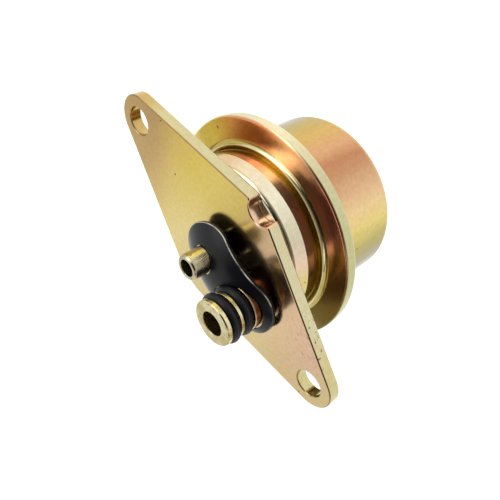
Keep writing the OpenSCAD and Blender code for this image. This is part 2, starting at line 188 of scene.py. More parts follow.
@dataclass(frozen=True)
class ZincDichromate:
    """Bright zinc plate under a yellow chromate film, on stamped or drawn steel sheet.

    The eye gets a soft mirror in straw gold whose tint drifts towards pink and green with the
    film's thickness, a fine bloom, small dark pits and a few handling marks. Some drifting tints and
    patches are painted reflection, highlight and shade laid into the colour.
    """

    name: str
    films: tuple[Film, ...]
    drift: Drift = Drift.ALONG_X
    half_length_mm: float = 40.0
    half_side_mm: float = 8.0
    wander: float = 0.04
    cloud_mm: Place = (16.0, 16.0, 16.0)
    bloom_mm: float = 0.9
    peel_mm: float = 0.6
    roughness: float = 0.2
    roughness_spread: float = 0.03
    pit_spacing_mm: float = 3.2
    pit_share: tuple[float, float] = (0.05, 0.09)
    pit_chance: float = 0.1
    marks_at_mm: Place = (27.0, 9.0, -1.0)
    marks_reach_mm: float = 9.0
    marks_strength: float = 0.7
    chip_at_mm: Place = (0.0, 0.0, 100.0)
    chip_mm: tuple[float, float] = (0.3, 0.45)
    dirt_colour: str = "#33261a"

    def tint(self, tree: bpy.types.NodeTree, mm: bpy.types.Node) -> bpy.types.Node:
        """Lays the films over one another, each with its drifting tints and its patch of tint or painted
        light.

        Args:
            tree: Node tree of the material.
            mm: Place on the part in millimetres.

        Returns:
            Node that gives the tint.
        """
        x, y, z = add_node(tree, "SeparateXYZ", {0: mm}).outputs
        along, half_run = x, self.half_length_mm
        if self.drift is Drift.ROUND_AXIS:
            along, half_run = add_node(tree, "Math", {0: y, 1: x}, operation="ARCTAN2"), math.pi
        run = add_node(tree, "MapRange", {"Value": along, "From Min": -half_run, "From Max": half_run})
        # Clouds of the film are as large as stated, and they move its tints by the wander.
        spread = add_node(tree, "VectorMath", {0: mm, 1: self.cloud_mm}, operation="DIVIDE")
        clouds = add_node(tree, "TexNoise", {"Vector": spread, "Scale": 1.0, "Detail": 3.0})
        sway = add_node(
            tree, "Math", {0: clouds, 1: self.wander, 2: -0.5 * self.wander}, operation="MULTIPLY_ADD"
        )
        tint_at = add_node(tree, "Math", {0: run, 1: sway}, operation="ADD")
        aside = add_node(
            tree, "MapRange", {"Value": y, "From Min": self.half_side_mm, "From Max": -self.half_side_mm}
        )
        tint = None
        for film in self.films:
            layer = add_node(tree, "ValToRGB", {"Fac": tint_at}, stops=film.tints)
            if film.far_tints:
                far = add_node(tree, "ValToRGB", {"Fac": tint_at}, stops=film.far_tints)
                layer = add_node(tree, "Mix", {0: aside, MIX_A: layer, MIX_B: far}, data_type="RGBA")
            # A film's patch holds another tint, or painted light or shade, as the film gives it.
            if film.tint_or_light_patch:
                apart = add_node(tree, "VectorMath", {0: mm, 1: film.tint_or_light_patch_at_mm}, operation="DISTANCE")
                edge = {"From Min": 0.75 * film.tint_or_light_patch_reach_mm, "From Max": film.tint_or_light_patch_reach_mm}
                patch = add_node(tree, "MapRange", {"Value": apart, **edge, **FADE_OUT})
                tint_or_light_patch = {0: patch, MIX_A: layer, MIX_B: linear(film.tint_or_light_patch)}
                layer = add_node(tree, "Mix", tint_or_light_patch, data_type="RGBA")
            if tint is None:
                tint = layer
                continue
            edge = {"From Min": film.above_mm - film.fade_mm, "From Max": film.above_mm + film.fade_mm}
            over = add_node(tree, "MapRange", {"Value": z, **edge})
            tint = add_node(tree, "Mix", {0: over, MIX_A: tint, MIX_B: layer}, data_type="RGBA")
        return tint

    def dirt(self, tree: bpy.types.NodeTree, mm: bpy.types.Node) -> bpy.types.Node:
        """Works out where the film has pits, rubbing marks or its chip.

        Args:
            tree: Node tree of the material.
            mm: Place on the part in millimetres.

        Returns:
            Node that gives the share of dirt.
        """
        # A pit of about 0.45 mm stands in about one cell of the pattern in ten.
        cells = add_node(tree, "TexVoronoi", {"Vector": mm, "Scale": 1 / self.pit_spacing_mm})
        edge = {"From Min": self.pit_share[0], "From Max": self.pit_share[1]}
        near = add_node(tree, "MapRange", {"Value": cells.outputs["Distance"], **edge, **FADE_OUT})
        chance = add_node(tree, "SeparateXYZ", {0: cells.outputs["Color"]})
        chosen = add_node(tree, "Math", {0: chance, 1: 1 - self.pit_chance}, operation="GREATER_THAN")
        pits = add_node(tree, "Math", {0: near, 1: chosen}, operation="MULTIPLY")
        # Rubbing marks are streaks of about 0.3 by 2 mm, kept to one place on the piece.
        grid = {"Vector": mm, "Rotation": (0.0, 0.0, 0.5), "Scale": (0.5, 3.0, 1.2)}
        streaks = add_node(tree, "Mapping", grid)
        rub = add_node(tree, "TexNoise", {"Vector": streaks, "Scale": 1.0, "Detail": 2.0})
        rubbed = add_node(tree, "MapRange", {"Value": rub, "From Min": 0.6, "From Max": 0.7})
        away = add_node(tree, "VectorMath", {0: mm, 1: self.marks_at_mm}, operation="DISTANCE")
        edge = {"From Min": 0.35 * self.marks_reach_mm, "From Max": self.marks_reach_mm}
        fade = {"To Min": self.marks_strength, "To Max": 0.0}
        close = add_node(tree, "MapRange", {"Value": away, **edge, **fade})
        marks = add_node(tree, "Math", {0: rubbed, 1: close}, operation="MULTIPLY")
        # The chip is half as wide along Y: about 0.4 by 0.8 mm.
        beside = add_node(tree, "VectorMath", {0: mm, 1: self.chip_at_mm}, operation="SUBTRACT")
        shape = add_node(tree, "VectorMath", {0: beside, 1: (1.0, 2.0, 1.0)}, operation="MULTIPLY")
        size = add_node(tree, "VectorMath", {0: shape}, operation="LENGTH")
        edge = {"From Min": self.chip_mm[0], "From Max": self.chip_mm[1]}
        chip = add_node(tree, "MapRange", {"Value": size, **edge, **FADE_OUT})
        worn = add_node(tree, "Math", {0: pits, 1: marks}, operation="MAXIMUM")
        return add_node(tree, "Math", {0: worn, 1: chip}, operation="MAXIMUM")

    def build(self) -> bpy.types.Material:
        """Makes the material.

        Returns:
            The finished material.
        """
        material, tree = new_material(self.name)
        mm = place_mm(tree)
        bloom = add_node(tree, "TexNoise", {"Vector": mm, "Scale": 1 / self.bloom_mm, "Detail": 4.0})
        veil = add_node(tree, "ValToRGB", {"Fac": bloom}, stops=((0.3, "#f4f2ec"), (0.7, "#ffffff")))
        layers = {0: 1.0, MIX_A: self.tint(tree, mm), MIX_B: veil}
        film = add_node(tree, "Mix", layers, data_type="RGBA", blend_type="MULTIPLY")
        dirt = self.dirt(tree, mm)
        soiled = {0: dirt, MIX_A: film, MIX_B: linear(self.dirt_colour)}
        dull = {
            "To Min": self.roughness - self.roughness_spread,
            "To Max": self.roughness + self.roughness_spread,
        }
        # Peel of the rolled sheet, drawn a little coarser than it is so that it shows.
        peel = add_node(tree, "TexNoise", {"Vector": mm, "Scale": 1 / self.peel_mm, "Detail": 2.0})
        height = add_node(tree, "Math", {0: dirt, 1: -1.0, 2: peel}, operation="MULTIPLY_ADD")
        shader = {
            "Base Color": add_node(tree, "Mix", soiled, data_type="RGBA"),
            "Metallic": 1.0,
            "Roughness": add_node(tree, "MapRange", {"Value": bloom, **dull}),
            "Normal": add_node(tree, "Bump", {"Strength": 0.025, "Distance": 0.05 * MM, "Height": height}),
        }
        add_node(tree, "OutputMaterial", {"Surface": add_node(tree, "BsdfPrincipled", shader)})
        return material


@dataclass(frozen=True)
class TurnedMetal:
    """Steel turned on a lathe, bare or under a thin pale chromate.

    The eye gets fine rings of tool marks round the axis, a satin gleam, slightly uneven colour and
    small brown stains. Below the height stated, where the piece stands under the gasket, the colour
    turns darker as painted shade.
    """

    name: str
    light: str
    dark: str
    axis_x_mm: float = 0.0
    roughness: float = 0.24
    roughness_spread: float = 0.08
    pitch_mm: float = 0.3
    blotch_mm: float = 2.5
    shaded_foot_colour: str = "#4a3826"
    shaded_foot_mm: float = -1000.0
    shaded_foot_fade_mm: float = 0.4
    stain: str = "#6a4a2c"
    stain_mm: float = 0.7

    def build(self) -> bpy.types.Material:
        """Makes the material.

        Returns:
            The finished material.
        """
        material, tree = new_material(self.name)
        mm = place_mm(tree)
        axis = {0: mm, 1: (self.axis_x_mm, 0.0, 0.0)}
        local = add_node(tree, "VectorMath", axis, operation="SUBTRACT")
        height = add_node(tree, "SeparateXYZ", {0: local}).outputs["Z"]
        flat = add_node(tree, "VectorMath", {0: local, 1: (1.0, 1.0, 0.0)}, operation="MULTIPLY")
        radius = add_node(tree, "VectorMath", {0: flat}, operation="LENGTH")
        # Tool marks follow radius on faces and height on walls. A real feed of 0.1 mm would not show.
        feed = add_node(tree, "Math", {0: height, 1: radius}, operation="ADD")
        phase = add_node(tree, "Math", {0: feed, 1: 2 * math.pi / self.pitch_mm}, operation="MULTIPLY")
        rings = add_node(tree, "Math", {0: phase}, operation="SINE")
        blotch = add_node(tree, "TexNoise", {"Vector": mm, "Scale": 1 / self.blotch_mm, "Detail": 4.0})
        colour = add_node(tree, "ValToRGB", {"Fac": blotch}, stops=((0.35, self.dark), (0.62, self.light)))
        # Below the shaded foot's height the colour fades into painted shade, for the shade under the
        # gasket.
        edge = {"From Min": self.shaded_foot_mm - self.shaded_foot_fade_mm, "From Max": self.shaded_foot_mm}
        low = add_node(tree, "MapRange", {"Value": height, **edge, **FADE_OUT})
        colour = add_node(tree, "Mix", {0: low, MIX_A: colour, MIX_B: linear(self.shaded_foot_colour)}, data_type="RGBA")
        spots = add_node(tree, "TexNoise", {"Vector": mm, "Scale": 1 / self.stain_mm, "Detail": 3.0})
        edge = {"From Min": 0.63, "From Max": 0.72, "To Max": 0.8}
        stained = add_node(tree, "MapRange", {"Value": spots, **edge})
        stains = {0: stained, MIX_A: colour, MIX_B: linear(self.stain)}
        dull = {
            "To Min": self.roughness + self.roughness_spread,
            "To Max": self.roughness - self.roughness_spread,
        }
        shader = {
            "Base Color": add_node(tree, "Mix", stains, data_type="RGBA"),
            "Metallic": 1.0,
            "Roughness": add_node(tree, "MapRange", {"Value": blotch, **dull}),
            "Normal": add_node(tree, "Bump", {"Strength": 0.12, "Distance": 0.02 * MM, "Height": rings}),
        }
        add_node(tree, "OutputMaterial", {"Surface": add_node(tree, "BsdfPrincipled", shader)})
        return material


@dataclass(frozen=True)
class NitrileRubber:
    """Black nitrile rubber, moulded or cut from sheet.

    The eye gets near black with a soft satin sheen, faint grey dust and a very fine grain. A pale
    painted highlight lies along the corners of a cut edge, which stand at one distance from the sheet's
    spine.
    """

    name: str
    black: str = "#111015"
    dust: str = "#17181b"
    roughness: float = 0.4
    gleam: float = 0.25
    grain_mm: float = 0.25
    smear_mm: float = 4.0
    spine_mm: float = 0.0
    cut_edge_mm: float = 1000.0
    cut_edge_highlight: str = "#e8e4da"
    cut_edge_highlight_inset_mm: float = 0.09
    cut_edge_highlight_half_mm: float = 0.06

    def build(self) -> bpy.types.Material:
        """Makes the material.

        Returns:
            The finished material.
        """
        material, tree = new_material(self.name)
        mm = place_mm(tree)
        x, y, _ = add_node(tree, "SeparateXYZ", {0: mm}).outputs
        nearest = add_node(tree, "Clamp", {"Value": x, "Min": 0.0, "Max": self.spine_mm})
        past = add_node(tree, "Math", {0: x, 1: nearest}, operation="SUBTRACT")
        reach = add_node(tree, "CombineXYZ", {"X": past, "Y": y, "Z": 0.0})
        spread = add_node(tree, "VectorMath", {0: reach}, operation="LENGTH")
        # A thin band at the cut edge's corners gets a pale painted highlight, broken up by the smear
        # noise.
        corner = {0: spread, 1: self.cut_edge_mm - self.cut_edge_highlight_inset_mm, 2: self.cut_edge_highlight_half_mm}
        cut = add_node(tree, "Math", corner, operation="COMPARE")
        smear = add_node(tree, "TexNoise", {"Vector": mm, "Scale": 1 / self.smear_mm, "Detail": 4.0})
        grain = add_node(tree, "TexNoise", {"Vector": mm, "Scale": 1 / self.grain_mm, "Detail": 2.0})
        colour = add_node(tree, "ValToRGB", {"Fac": smear}, stops=((0.4, self.black), (0.75, self.dust)))
        edge = {"From Min": 0.42, "From Max": 0.58, "To Min": 0.1, "To Max": 1.0}
        highlight_breakup = add_node(tree, "MapRange", {"Value": smear, **edge})
        highlight_share = add_node(tree, "Math", {0: cut, 1: highlight_breakup}, operation="MULTIPLY")
        highlight_mix = {0: highlight_share, MIX_A: colour, MIX_B: linear(self.cut_edge_highlight)}
        dull = {"To Min": self.roughness - 0.08, "To Max": self.roughness + 0.1}
        shader = {
            "Base Color": add_node(tree, "Mix", highlight_mix, data_type="RGBA"),
            "Roughness": add_node(tree, "MapRange", {"Value": smear, **dull}),
            "Specular IOR Level": self.gleam,
            "Normal": add_node(tree, "Bump", {"Strength": 0.15, "Distance": 0.02 * MM, "Height": grain}),
        }
        add_node(tree, "OutputMaterial", {"Surface": add_node(tree, "BsdfPrincipled", shader)})
        return material


def arc(x: float, y: float, radius: float, start: float, end: float, count: int) -> Array:
    """Samples a circular arc: centre plus radius times the cosine and sine of even angles.

    Args:
        x: First coordinate of the centre.
        y: Second coordinate of the centre.
        radius: Radius of the arc.
        start: First angle in degrees.
        end: Last angle in degrees.
        count: Number of points.

    Returns:
        Points of shape (count, 2).
    """
    angle = np.radians(np.linspace(start, end, count))
    return np.stack([x + radius * np.cos(angle), y + radius * np.sin(angle)], axis=1)


def hole_rim(x: float, y: float, radius: float, count: int) -> tuple[Array, Array]:
    """Samples the rim of a round hole, with normals that point out of the sheet, to the centre.

    Args:
        x: First coordinate of the centre.
        y: Second coordinate of the centre.
        radius: Radius of the hole.
        count: Number of points.

    Returns:
        Path points and outward normals, each of shape (count, 2).
    """
    turns = (0.0, 360.0, count + 1)
    return arc(x, y, radius, *turns)[:-1], -arc(0.0, 0.0, 1.0, *turns)[:-1]


def rounded(corners: Array, steps: int = 7, guard: float = 0.04) -> Array:
    """Rounds every corner of a closed polygon.

    A corner's arc has its centre on the bisector at radius over the sine of the half angle, and
    runs between the two points at radius over the tangent of the half angle along the sides. One
    guard point on each side keeps the flats flat when the surface is shaded smoothly.

    Args:
        corners: Rows of first coordinate, second coordinate and corner radius.
        steps: Points on each arc.
        guard: Distance of the guard points from the ends of the arc.

    Returns:
        Points of the rounded polygon, of shape (corners * (steps + 2), 2).
    """
    corner, radius = corners[:, :2], np.maximum(corners[:, 2:3], 0.02)
    back, ahead = np.roll(corner, 1, axis=0) - corner, np.roll(corner, -1, axis=0) - corner
    back = back / np.linalg.norm(back, axis=1, keepdims=True)
    ahead = ahead / np.linalg.norm(ahead, axis=1, keepdims=True)
    half = np.arccos(np.clip(np.sum(back * ahead, axis=1, keepdims=True), -1.0, 1.0)) / 2
    reach = radius / np.tan(half)
    middle = back + ahead
    centre = corner + middle / np.linalg.norm(middle, axis=1, keepdims=True) * radius / np.sin(half)
    first, last = (corner + back * reach - centre) / radius, (corner + ahead * reach - centre) / radius
    sweep = (np.pi - 2 * half)[:, None]
    share = np.linspace(0.0, 1.0, steps)[None, :, None]
    rays = np.sin((1 - share) * sweep) * first[:, None] + np.sin(share * sweep) * last[:, None]
    rays = rays / np.sin(sweep)
    ring = centre[:, None] + radius[:, None] * rays
    entry, leave = corner + back * (reach + guard), corner + ahead * (reach + guard)
    return np.concatenate([entry[:, None], ring, leave[:, None]], axis=1).reshape(-1, 2)


def revolve(profile: Array, segments: int, axis_x: float = 0.0) -> Array:
    """Turns a profile of radius and height about an axis along Z.

    A point is at the axis plus radius times the cosine and sine of the turn, at its own height.

    Args:
        profile: Radius and height of each point, of shape (n, 2).
        segments: Steps round the axis.
        axis_x: Place of the axis along X.

    Returns:
        Grid of points, of shape (n, segments, 3).
    """
    turn = np.linspace(0.0, 2 * np.pi, segments, endpoint=False)
    radius, height = profile[:, :1], profile[:, 1:]
    height = np.broadcast_to(height, (len(profile), segments))
    return np.stack([axis_x + radius * np.cos(turn), radius * np.sin(turn), height], axis=2)


def edge_band(path: Array, outward: Array, profile: Array) -> Array:
    """Carries an edge profile along a closed path in the XY plane.

    A point is on the path, moved by the profile's inset against the outward normal, at the
    profile's height.

    Args:
        path: Points of the path, of shape (n, 2).
        outward: Unit normals that point out of the sheet, of shape (n, 2).
        profile: Inset and height of each profile point, of shape (k, 2).

    Returns:
        Grid of points, of shape (k, n, 3).
    """
    plan = path[None] - profile[:, None, :1] * outward[None]
    height = np.broadcast_to(profile[:, None, 1:], (len(profile), len(path), 1))
    return np.concatenate([plan, height], axis=2)


def grid_quads(rows: int, columns: int, wrap_rows: bool) -> Array:
    """Numbers the quads of a grid whose columns close on themselves.

    Args:
        rows: Rows of the grid.
        columns: Columns of the grid.
        wrap_rows: Whether the last row joins the first.

    Returns:
        Vertex numbers of shape (quads, 4).
    """
    index = np.arange(rows * columns).reshape(rows, columns)
    below = np.roll(index, -1, axis=0)
    quads = np.stack([index, np.roll(index, -1, axis=1), np.roll(below, -1, axis=1), below], axis=2)
    return quads[: rows if wrap_rows else rows - 1].reshape(-1, 4)


def fill(rims: list[Array], inner: Array = NO_POINTS) -> tuple[Array, Array]:
    """Triangulates a flat face between closed rims that lie at one height.

    A triangle belongs to the face where a ray from its centroid along X crosses the rims an odd
    number of times.

    Args:
        rims: Closed loops of points, each of shape (n, 3).
        inner: Extra points inside the face, of shape (m, 2).

    Returns:
        Points of shape (p, 3) and triangles of shape (t, 3).
    """
    loops = [rim[:, :2] for rim in rims]
    counts = np.array([len(loop) for loop in loops])
    starts = np.concatenate([[0], np.cumsum(counts)[:-1]])
    edges = np.concatenate(
        [
            np.stack([np.arange(count), np.roll(np.arange(count), -1)], axis=1) + start
            for count, start in zip(counts, starts)
        ]
    )
    points = np.concatenate([*loops, inner])
    found = delaunay_2d_cdt(points.tolist(), edges.tolist(), [], 0, 1e-6)
    plan, triangles = np.array(found[0]), np.array(found[2])
    middle = plan[triangles].mean(axis=1)[:, None]
    start = np.concatenate(loops)[None]
    end = np.concatenate([np.roll(loop, -1, axis=0) for loop in loops])[None]
    spans = (start[..., 1] > middle[..., 1]) != (end[..., 1] > middle[..., 1])
    rise = np.where(spans, end[..., 1] - start[..., 1], 1.0)
    meets = start[..., 0] + (end[..., 0] - start[..., 0]) * (middle[..., 1] - start[..., 1]) / rise
    crossings = np.sum(spans & (meets > middle[..., 0]), axis=1)
    height = np.full((len(plan), 1), rims[0][0, 2])
    return np.concatenate([plan, height], axis=1), triangles[crossings % 2 == 1]


@dataclass
class Shell:
    """Vertices and faces of one closed piece, gathered patch by patch."""

    points: list[Array] = field(default_factory=list)
    faces: list[list[int]] = field(default_factory=list)
    count: int = 0

    def add_grid(self, grid: Array, wrap_rows: bool) -> None:
        """Adds a grid of shape (rows, columns, 3) whose columns close on themselves."""
        rows, columns, _ = grid.shape
        self.add(grid.reshape(-1, 3), grid_quads(rows, columns, wrap_rows))

    def add(self, points: Array, faces: Array) -> None:
        """Adds one patch.

        Args:
            points: Points of the patch, of shape (n, 3).
            faces: Vertex numbers of its faces, which start at nought.
        """
        self.points.append(points)
        self.faces.extend((faces + self.count).tolist())
        self.count += len(points)

    def piece(
        self, name: str, material: bpy.types.Material, node: str, slot: Slot, body: Body | None
    ) -> bpy.types.Object:
        """Makes the object, closes its seams and puts it in place of a frame node.

        Args:
            name: Name of the object.
            material: Finish of the piece.
            node: Frame node that the piece stands for.
            slot: Material slot of the record; not used.
            body: Rigid body that carries the piece, or None for a piece that rides on no body.

        Returns:
            The finished object.
        """
        mesh = bpy.data.meshes.new(name)
        mesh.from_pydata((np.concatenate(self.points) * MM).tolist(), [], self.faces)
        work = bmesh.new()
        work.from_mesh(mesh)
        bmesh.ops.remove_doubles(work, verts=work.verts, dist=1e-7)
        bmesh.ops.recalc_face_normals(work, faces=work.faces)
        work.to_mesh(mesh)
        work.free()
        mesh.polygons.foreach_set("use_smooth", np.ones(len(mesh.polygons), dtype=bool))
        mesh.materials.append(material)
        piece = bpy.data.objects.new(name, mesh)
        bpy.context.scene.collection.objects.link(piece)
        if body is not None:
            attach(piece, body.value)
        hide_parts(node)
        LOG.info("%s: %d faces, stands for %s", name, len(mesh.polygons), node)
        return piece


def turned_piece(
    name: str,
    corners: Array,
    material: bpy.types.Material,
    node: str,
    slot: Slot,
    segments: int = 160,
    axis_x: float = 0.0,
    steps: int = 7,
) -> bpy.types.Object:
    """Makes a closed piece by turning a rounded profile about an axis along Z.

    Args:
        name: Name of the object.
        corners: Rows of radius, height and corner radius.
        material: Finish of the piece.
        node: Frame node that the piece stands for.
        slot: Material slot of the record.
        segments: Steps round the axis.
        axis_x: Place of the axis along X.
        steps: Points on each rounded corner.

    Returns:
        The finished object.
    """
    shell = Shell()
    shell.add_grid(revolve(rounded(corners, steps), segments, axis_x), wrap_rows=True)
    return shell.piece(name, material, node, slot, Body.HOUSING)


@dataclass
class FlangePlate:
    """Stamped diamond plate with two bolt holes, a locating notch and rolled front edges."""

    thickness: float = 2.8
    hole_spacing: float = 68.0
    hole_r: float = 3.3
    tip_r: float = 6.0
    plain_reach: float = 20.7
    notch_reach: float = 19.1
    side_corner_r: float = 12.0
    notch_r: float = 3.1
    notch_depth: float = 3.2
    notch_mouth_r: float = 0.6
    roll_inset: float = 0.5
    roll_depth: float = 0.3
    back_edge_r: float = 0.2
    hole_edge_r: float = 0.3
    tube_hole_r: float = 2.7
    nipple_hole_r: float = 4.2
    nipple_x: float = 12.5
    hole_back_r: float = 0.1
    hole_steps: int = 72
    roll_steps: int = 9
    guard: float = 0.06

    def touch_angle(self, side_y: float) -> float:
        """Finds the direction of the straight edge's normal between a side corner and a tip.

        Args:
            side_y: Height of the side corner's centre above the hole line.

        Returns:
            Angle in degrees.
        """
        run = self.hole_spacing / 2
        lean = math.atan2(-side_y, run)
        return math.degrees(lean + math.acos((self.side_corner_r - self.tip_r) / math.hypot(run, side_y)))

    def outline(self) -> tuple[Array, Array]:
        """Works out the outline as tangent arcs, anticlockwise from the tip on the nipple's side.

        Straight edges join the arcs. The mouth of the notch is rounded by an arc that touches the
        side corner from inside and the notch from outside.

        Returns:
            Path points and outward normals, each of shape (n, 2).
        """
        tip_x = self.hole_spacing / 2
        notch_side = self.notch_reach - self.side_corner_r
        plain_side = self.plain_reach - self.side_corner_r
        a, b = self.touch_angle(notch_side), self.touch_angle(plain_side)
        notch_y = self.notch_reach - self.notch_depth + self.notch_r
        rise = notch_y - notch_side
        inside, outside = self.side_corner_r - self.notch_mouth_r, self.notch_r + self.notch_mouth_r
        up = (inside**2 - outside**2 + rise**2) / (2 * rise)
        across = math.sqrt(inside**2 - up**2)
        leave = math.degrees(math.atan2(up, across))
        enter = math.degrees(math.atan2(rise - up, -across))
        mouth_y = notch_side + up
        runs = (
            (tip_x, 0.0, self.tip_r, -b, a, 48, 1.0),
            (0.0, notch_side, self.side_corner_r, a, leave, 6, 1.0),
            (across, mouth_y, self.notch_mouth_r, leave, enter, 12, 1.0),
            (0.0, notch_y, self.notch_r, enter - 180, -enter, 40, -1.0),
            (-across, mouth_y, self.notch_mouth_r, 180 - enter, 180 - leave, 12, 1.0),
            (0.0, notch_side, self.side_corner_r, 180 - leave, 180 - a, 6, 1.0),
            (-tip_x, 0.0, self.tip_r, 180 - a, 180 + b, 48, 1.0),
            (0.0, -plain_side, self.side_corner_r, 180 + b, 360 - b, 40, 1.0),
        )
        path = np.concatenate([arc(x, y, r, p, q, n) for x, y, r, p, q, n, _ in runs])
        outward = np.concatenate([sign * arc(0.0, 0.0, 1.0, p, q, n) for _, _, _, p, q, n, sign in runs])
        return path, outward

    def edge_profile(self, inset: float, depth: float, back: float) -> Array:
        """Works out an edge from the front face over its roll and the wall to the back face.

        The roll is a quarter of an ellipse, and the back edge a quarter of a circle.

        Args:
            inset: Width of the front roll.
            depth: Depth of the front roll.
            back: Radius of the back edge.

        Returns:
            Inset and height of each point, of shape (k, 2).
        """
        t = np.linspace(0.0, np.pi / 2, self.roll_steps)
        roll = np.stack([inset * (1 - np.sin(t)), -depth * (1 - np.cos(t))], axis=1)
        heel = np.stack([back * (1 - np.cos(t)), -self.thickness + back * (1 - np.sin(t))], axis=1)
        lead = np.array([[inset + self.guard, 0.0]])
        land = np.array([[0.0, -depth - self.guard], [0.0, -self.thickness + back + self.guard]])
        tail = np.array([[back + self.guard, -self.thickness]])
        return np.concatenate([lead, roll, land, heel, tail])

    def build(self, material: bpy.types.Material) -> bpy.types.Object:
        """Builds the plate: one band round each edge, and a filled face in front and behind.

        Args:
            material: Finish of the plate.

        Returns:
            The finished object.
        """
        tip_x = self.hole_spacing / 2
        bolts = ((tip_x, self.hole_r), (-tip_x, self.hole_r))
        spigots = ((0.0, self.tube_hole_r), (self.nipple_x, self.nipple_hole_r))
        path, outward = self.outline()
        edge = self.edge_profile(self.roll_inset, self.roll_depth, self.back_edge_r)
        bands = [edge_band(path, outward, edge)]
        lip = self.edge_profile(self.hole_edge_r, self.hole_edge_r, self.hole_back_r)
        for x, radius in bolts + spigots:
            bands.append(edge_band(*hole_rim(x, 0.0, radius, self.hole_steps), lip))
        shell = Shell()
        for band in bands:
            shell.add_grid(band, wrap_rows=False)
        for row in (0, -1):
            shell.add(*fill([band[row] for band in bands]))
        return shell.piece("flange_plate", material, "mounting_flange", Slot.YELLOW_ZINC, Body.HOUSING)


@dataclass
class DiaphragmBody:
    """Drawn housing behind the plate, and the spring can whose rim is folded over it."""

    plate_t: float = 2.8
    housing_r: float = 19.5
    shoulder_h: float = 3.5
    shoulder_taper: float = 13.0
    crease_r: float = 0.3
    housing_t: float = 0.9
    housing_edge_r: float = 1.3
    root_r: float = 1.2
    lip_z: float = -10.2
    lip_r: float = 21.3
    lip_edge_r: float = 0.6
    clamp_z: float = -11.1
    diaphragm_z: float = -12.0
    rim_z: float = -12.4
    crimp_back_z: float = -13.3
    crimp_r: float = 26.4
    crimp_edge_r: float = 1.1
    clamped_r: float = 25.3
    can_r: float = 19.8
    can_t: float = 0.9
    can_root_r: float = 1.2
    can_end_z: float = -34.1
    can_edge_r: float = 2.5
    tube_hole_r: float = 2.7
    nipple_hole_r: float = 4.2
    nipple_x: float = 12.5
    vacuum_hole_r: float = 2.6
    round_steps: int = 256
    hole_steps: int = 96
    corner_steps: int = 16
    can_corner_steps: int = 12

    def housing(self, material: bpy.types.Material) -> bpy.types.Object:
        """Turns the drawn housing: tapered shoulder, wall, root fillet and clamped flange.

        The inside follows the outside at the sheet's thickness. Its shoulder line is the outer
        line moved inwards along its own normal. The end has a hole for the tube on the axis and
        one for the nipple, so its two flat faces are filled round the holes' edges.

        Args:
            material: Finish of the housing.

        Returns:
            The finished object.
        """
        top, t = -self.plate_t, self.housing_t
        slope = math.radians(self.shoulder_taper)
        crease_z = top - self.shoulder_h
        shoulder_r = self.housing_r - self.shoulder_h * math.tan(slope)
        inner_r = self.housing_r - (t + (self.shoulder_h - t) * math.sin(slope)) / math.cos(slope)
        corners = np.array(
            [
                [self.tube_hole_r, top, 0.05],
                [shoulder_r, top, self.housing_edge_r],
                [self.housing_r, crease_z, self.crease_r],
                [self.housing_r, self.clamp_z, self.root_r],
                [self.clamped_r, self.clamp_z, 0.1],
                [self.clamped_r, self.diaphragm_z, 0.1],
                [self.housing_r - t, self.diaphragm_z, self.root_r + t],
                [self.housing_r - t, crease_z - t * math.tan(slope / 2), self.crease_r],
                [inner_r, top - t, self.housing_edge_r - t],
                [self.tube_hole_r, top - t, 0.05],
            ]
        )
        # A rounded corner also has a guard point on each side.
        profile, corner = rounded(corners, self.corner_steps), self.corner_steps + 2
        wall, tube = profile[corner:-corner], np.concatenate([profile[-corner:], profile[:corner]])
        nipple = tube + [self.nipple_hole_r - self.tube_hole_r, 0.0]
        outer = revolve(wall, self.round_steps)
        holes = [revolve(tube, self.hole_steps), revolve(nipple, self.hole_steps, self.nipple_x)]
        shell = Shell()
        for strip in [outer, *holes]:
            shell.add_grid(strip, wrap_rows=False)
        for wall_row, hole_row in ((0, -1), (-1, 0)):
            shell.add(*fill([outer[wall_row], *(hole[hole_row] for hole in holes)]))
        return shell.piece("drawn_housing", material, "lower_housing", Slot.YELLOW_ZINC, Body.HOUSING)

    def can(self, material: bpy.types.Material) -> bpy.types.Object:
        """Turns the spring can with its folded rim.

        Args:
            material: Finish of the can.

        Returns:
            The finished object.
        """
        floor_z = self.can_end_z + self.can_t
        corners = np.array(
            [
                [self.lip_r, self.lip_z, 0.25],
                [self.crimp_r, self.lip_z, self.lip_edge_r],
                [self.crimp_r, self.crimp_back_z, self.crimp_edge_r],
                [self.can_r, self.crimp_back_z, self.can_root_r],
                [self.can_r, self.can_end_z, self.can_edge_r],
                [self.vacuum_hole_r, self.can_end_z, 0.05],
                [self.vacuum_hole_r, floor_z, 0.05],
                [self.can_r - self.can_t, floor_z, self.can_edge_r - self.can_t],
                [self.can_r - self.can_t, self.rim_z, 0.3],
                [self.crimp_r - self.can_t, self.rim_z, 0.2],
                [self.crimp_r - self.can_t, self.clamp_z, 0.2],
                [self.lip_r, self.clamp_z, 0.2],
            ]
        )
        return turned_piece(
            "spring_can_shell",
            corners,
            material,
            "spring_can",
            Slot.YELLOW_ZINC,
            self.round_steps,
            steps=self.can_corner_steps,
        )


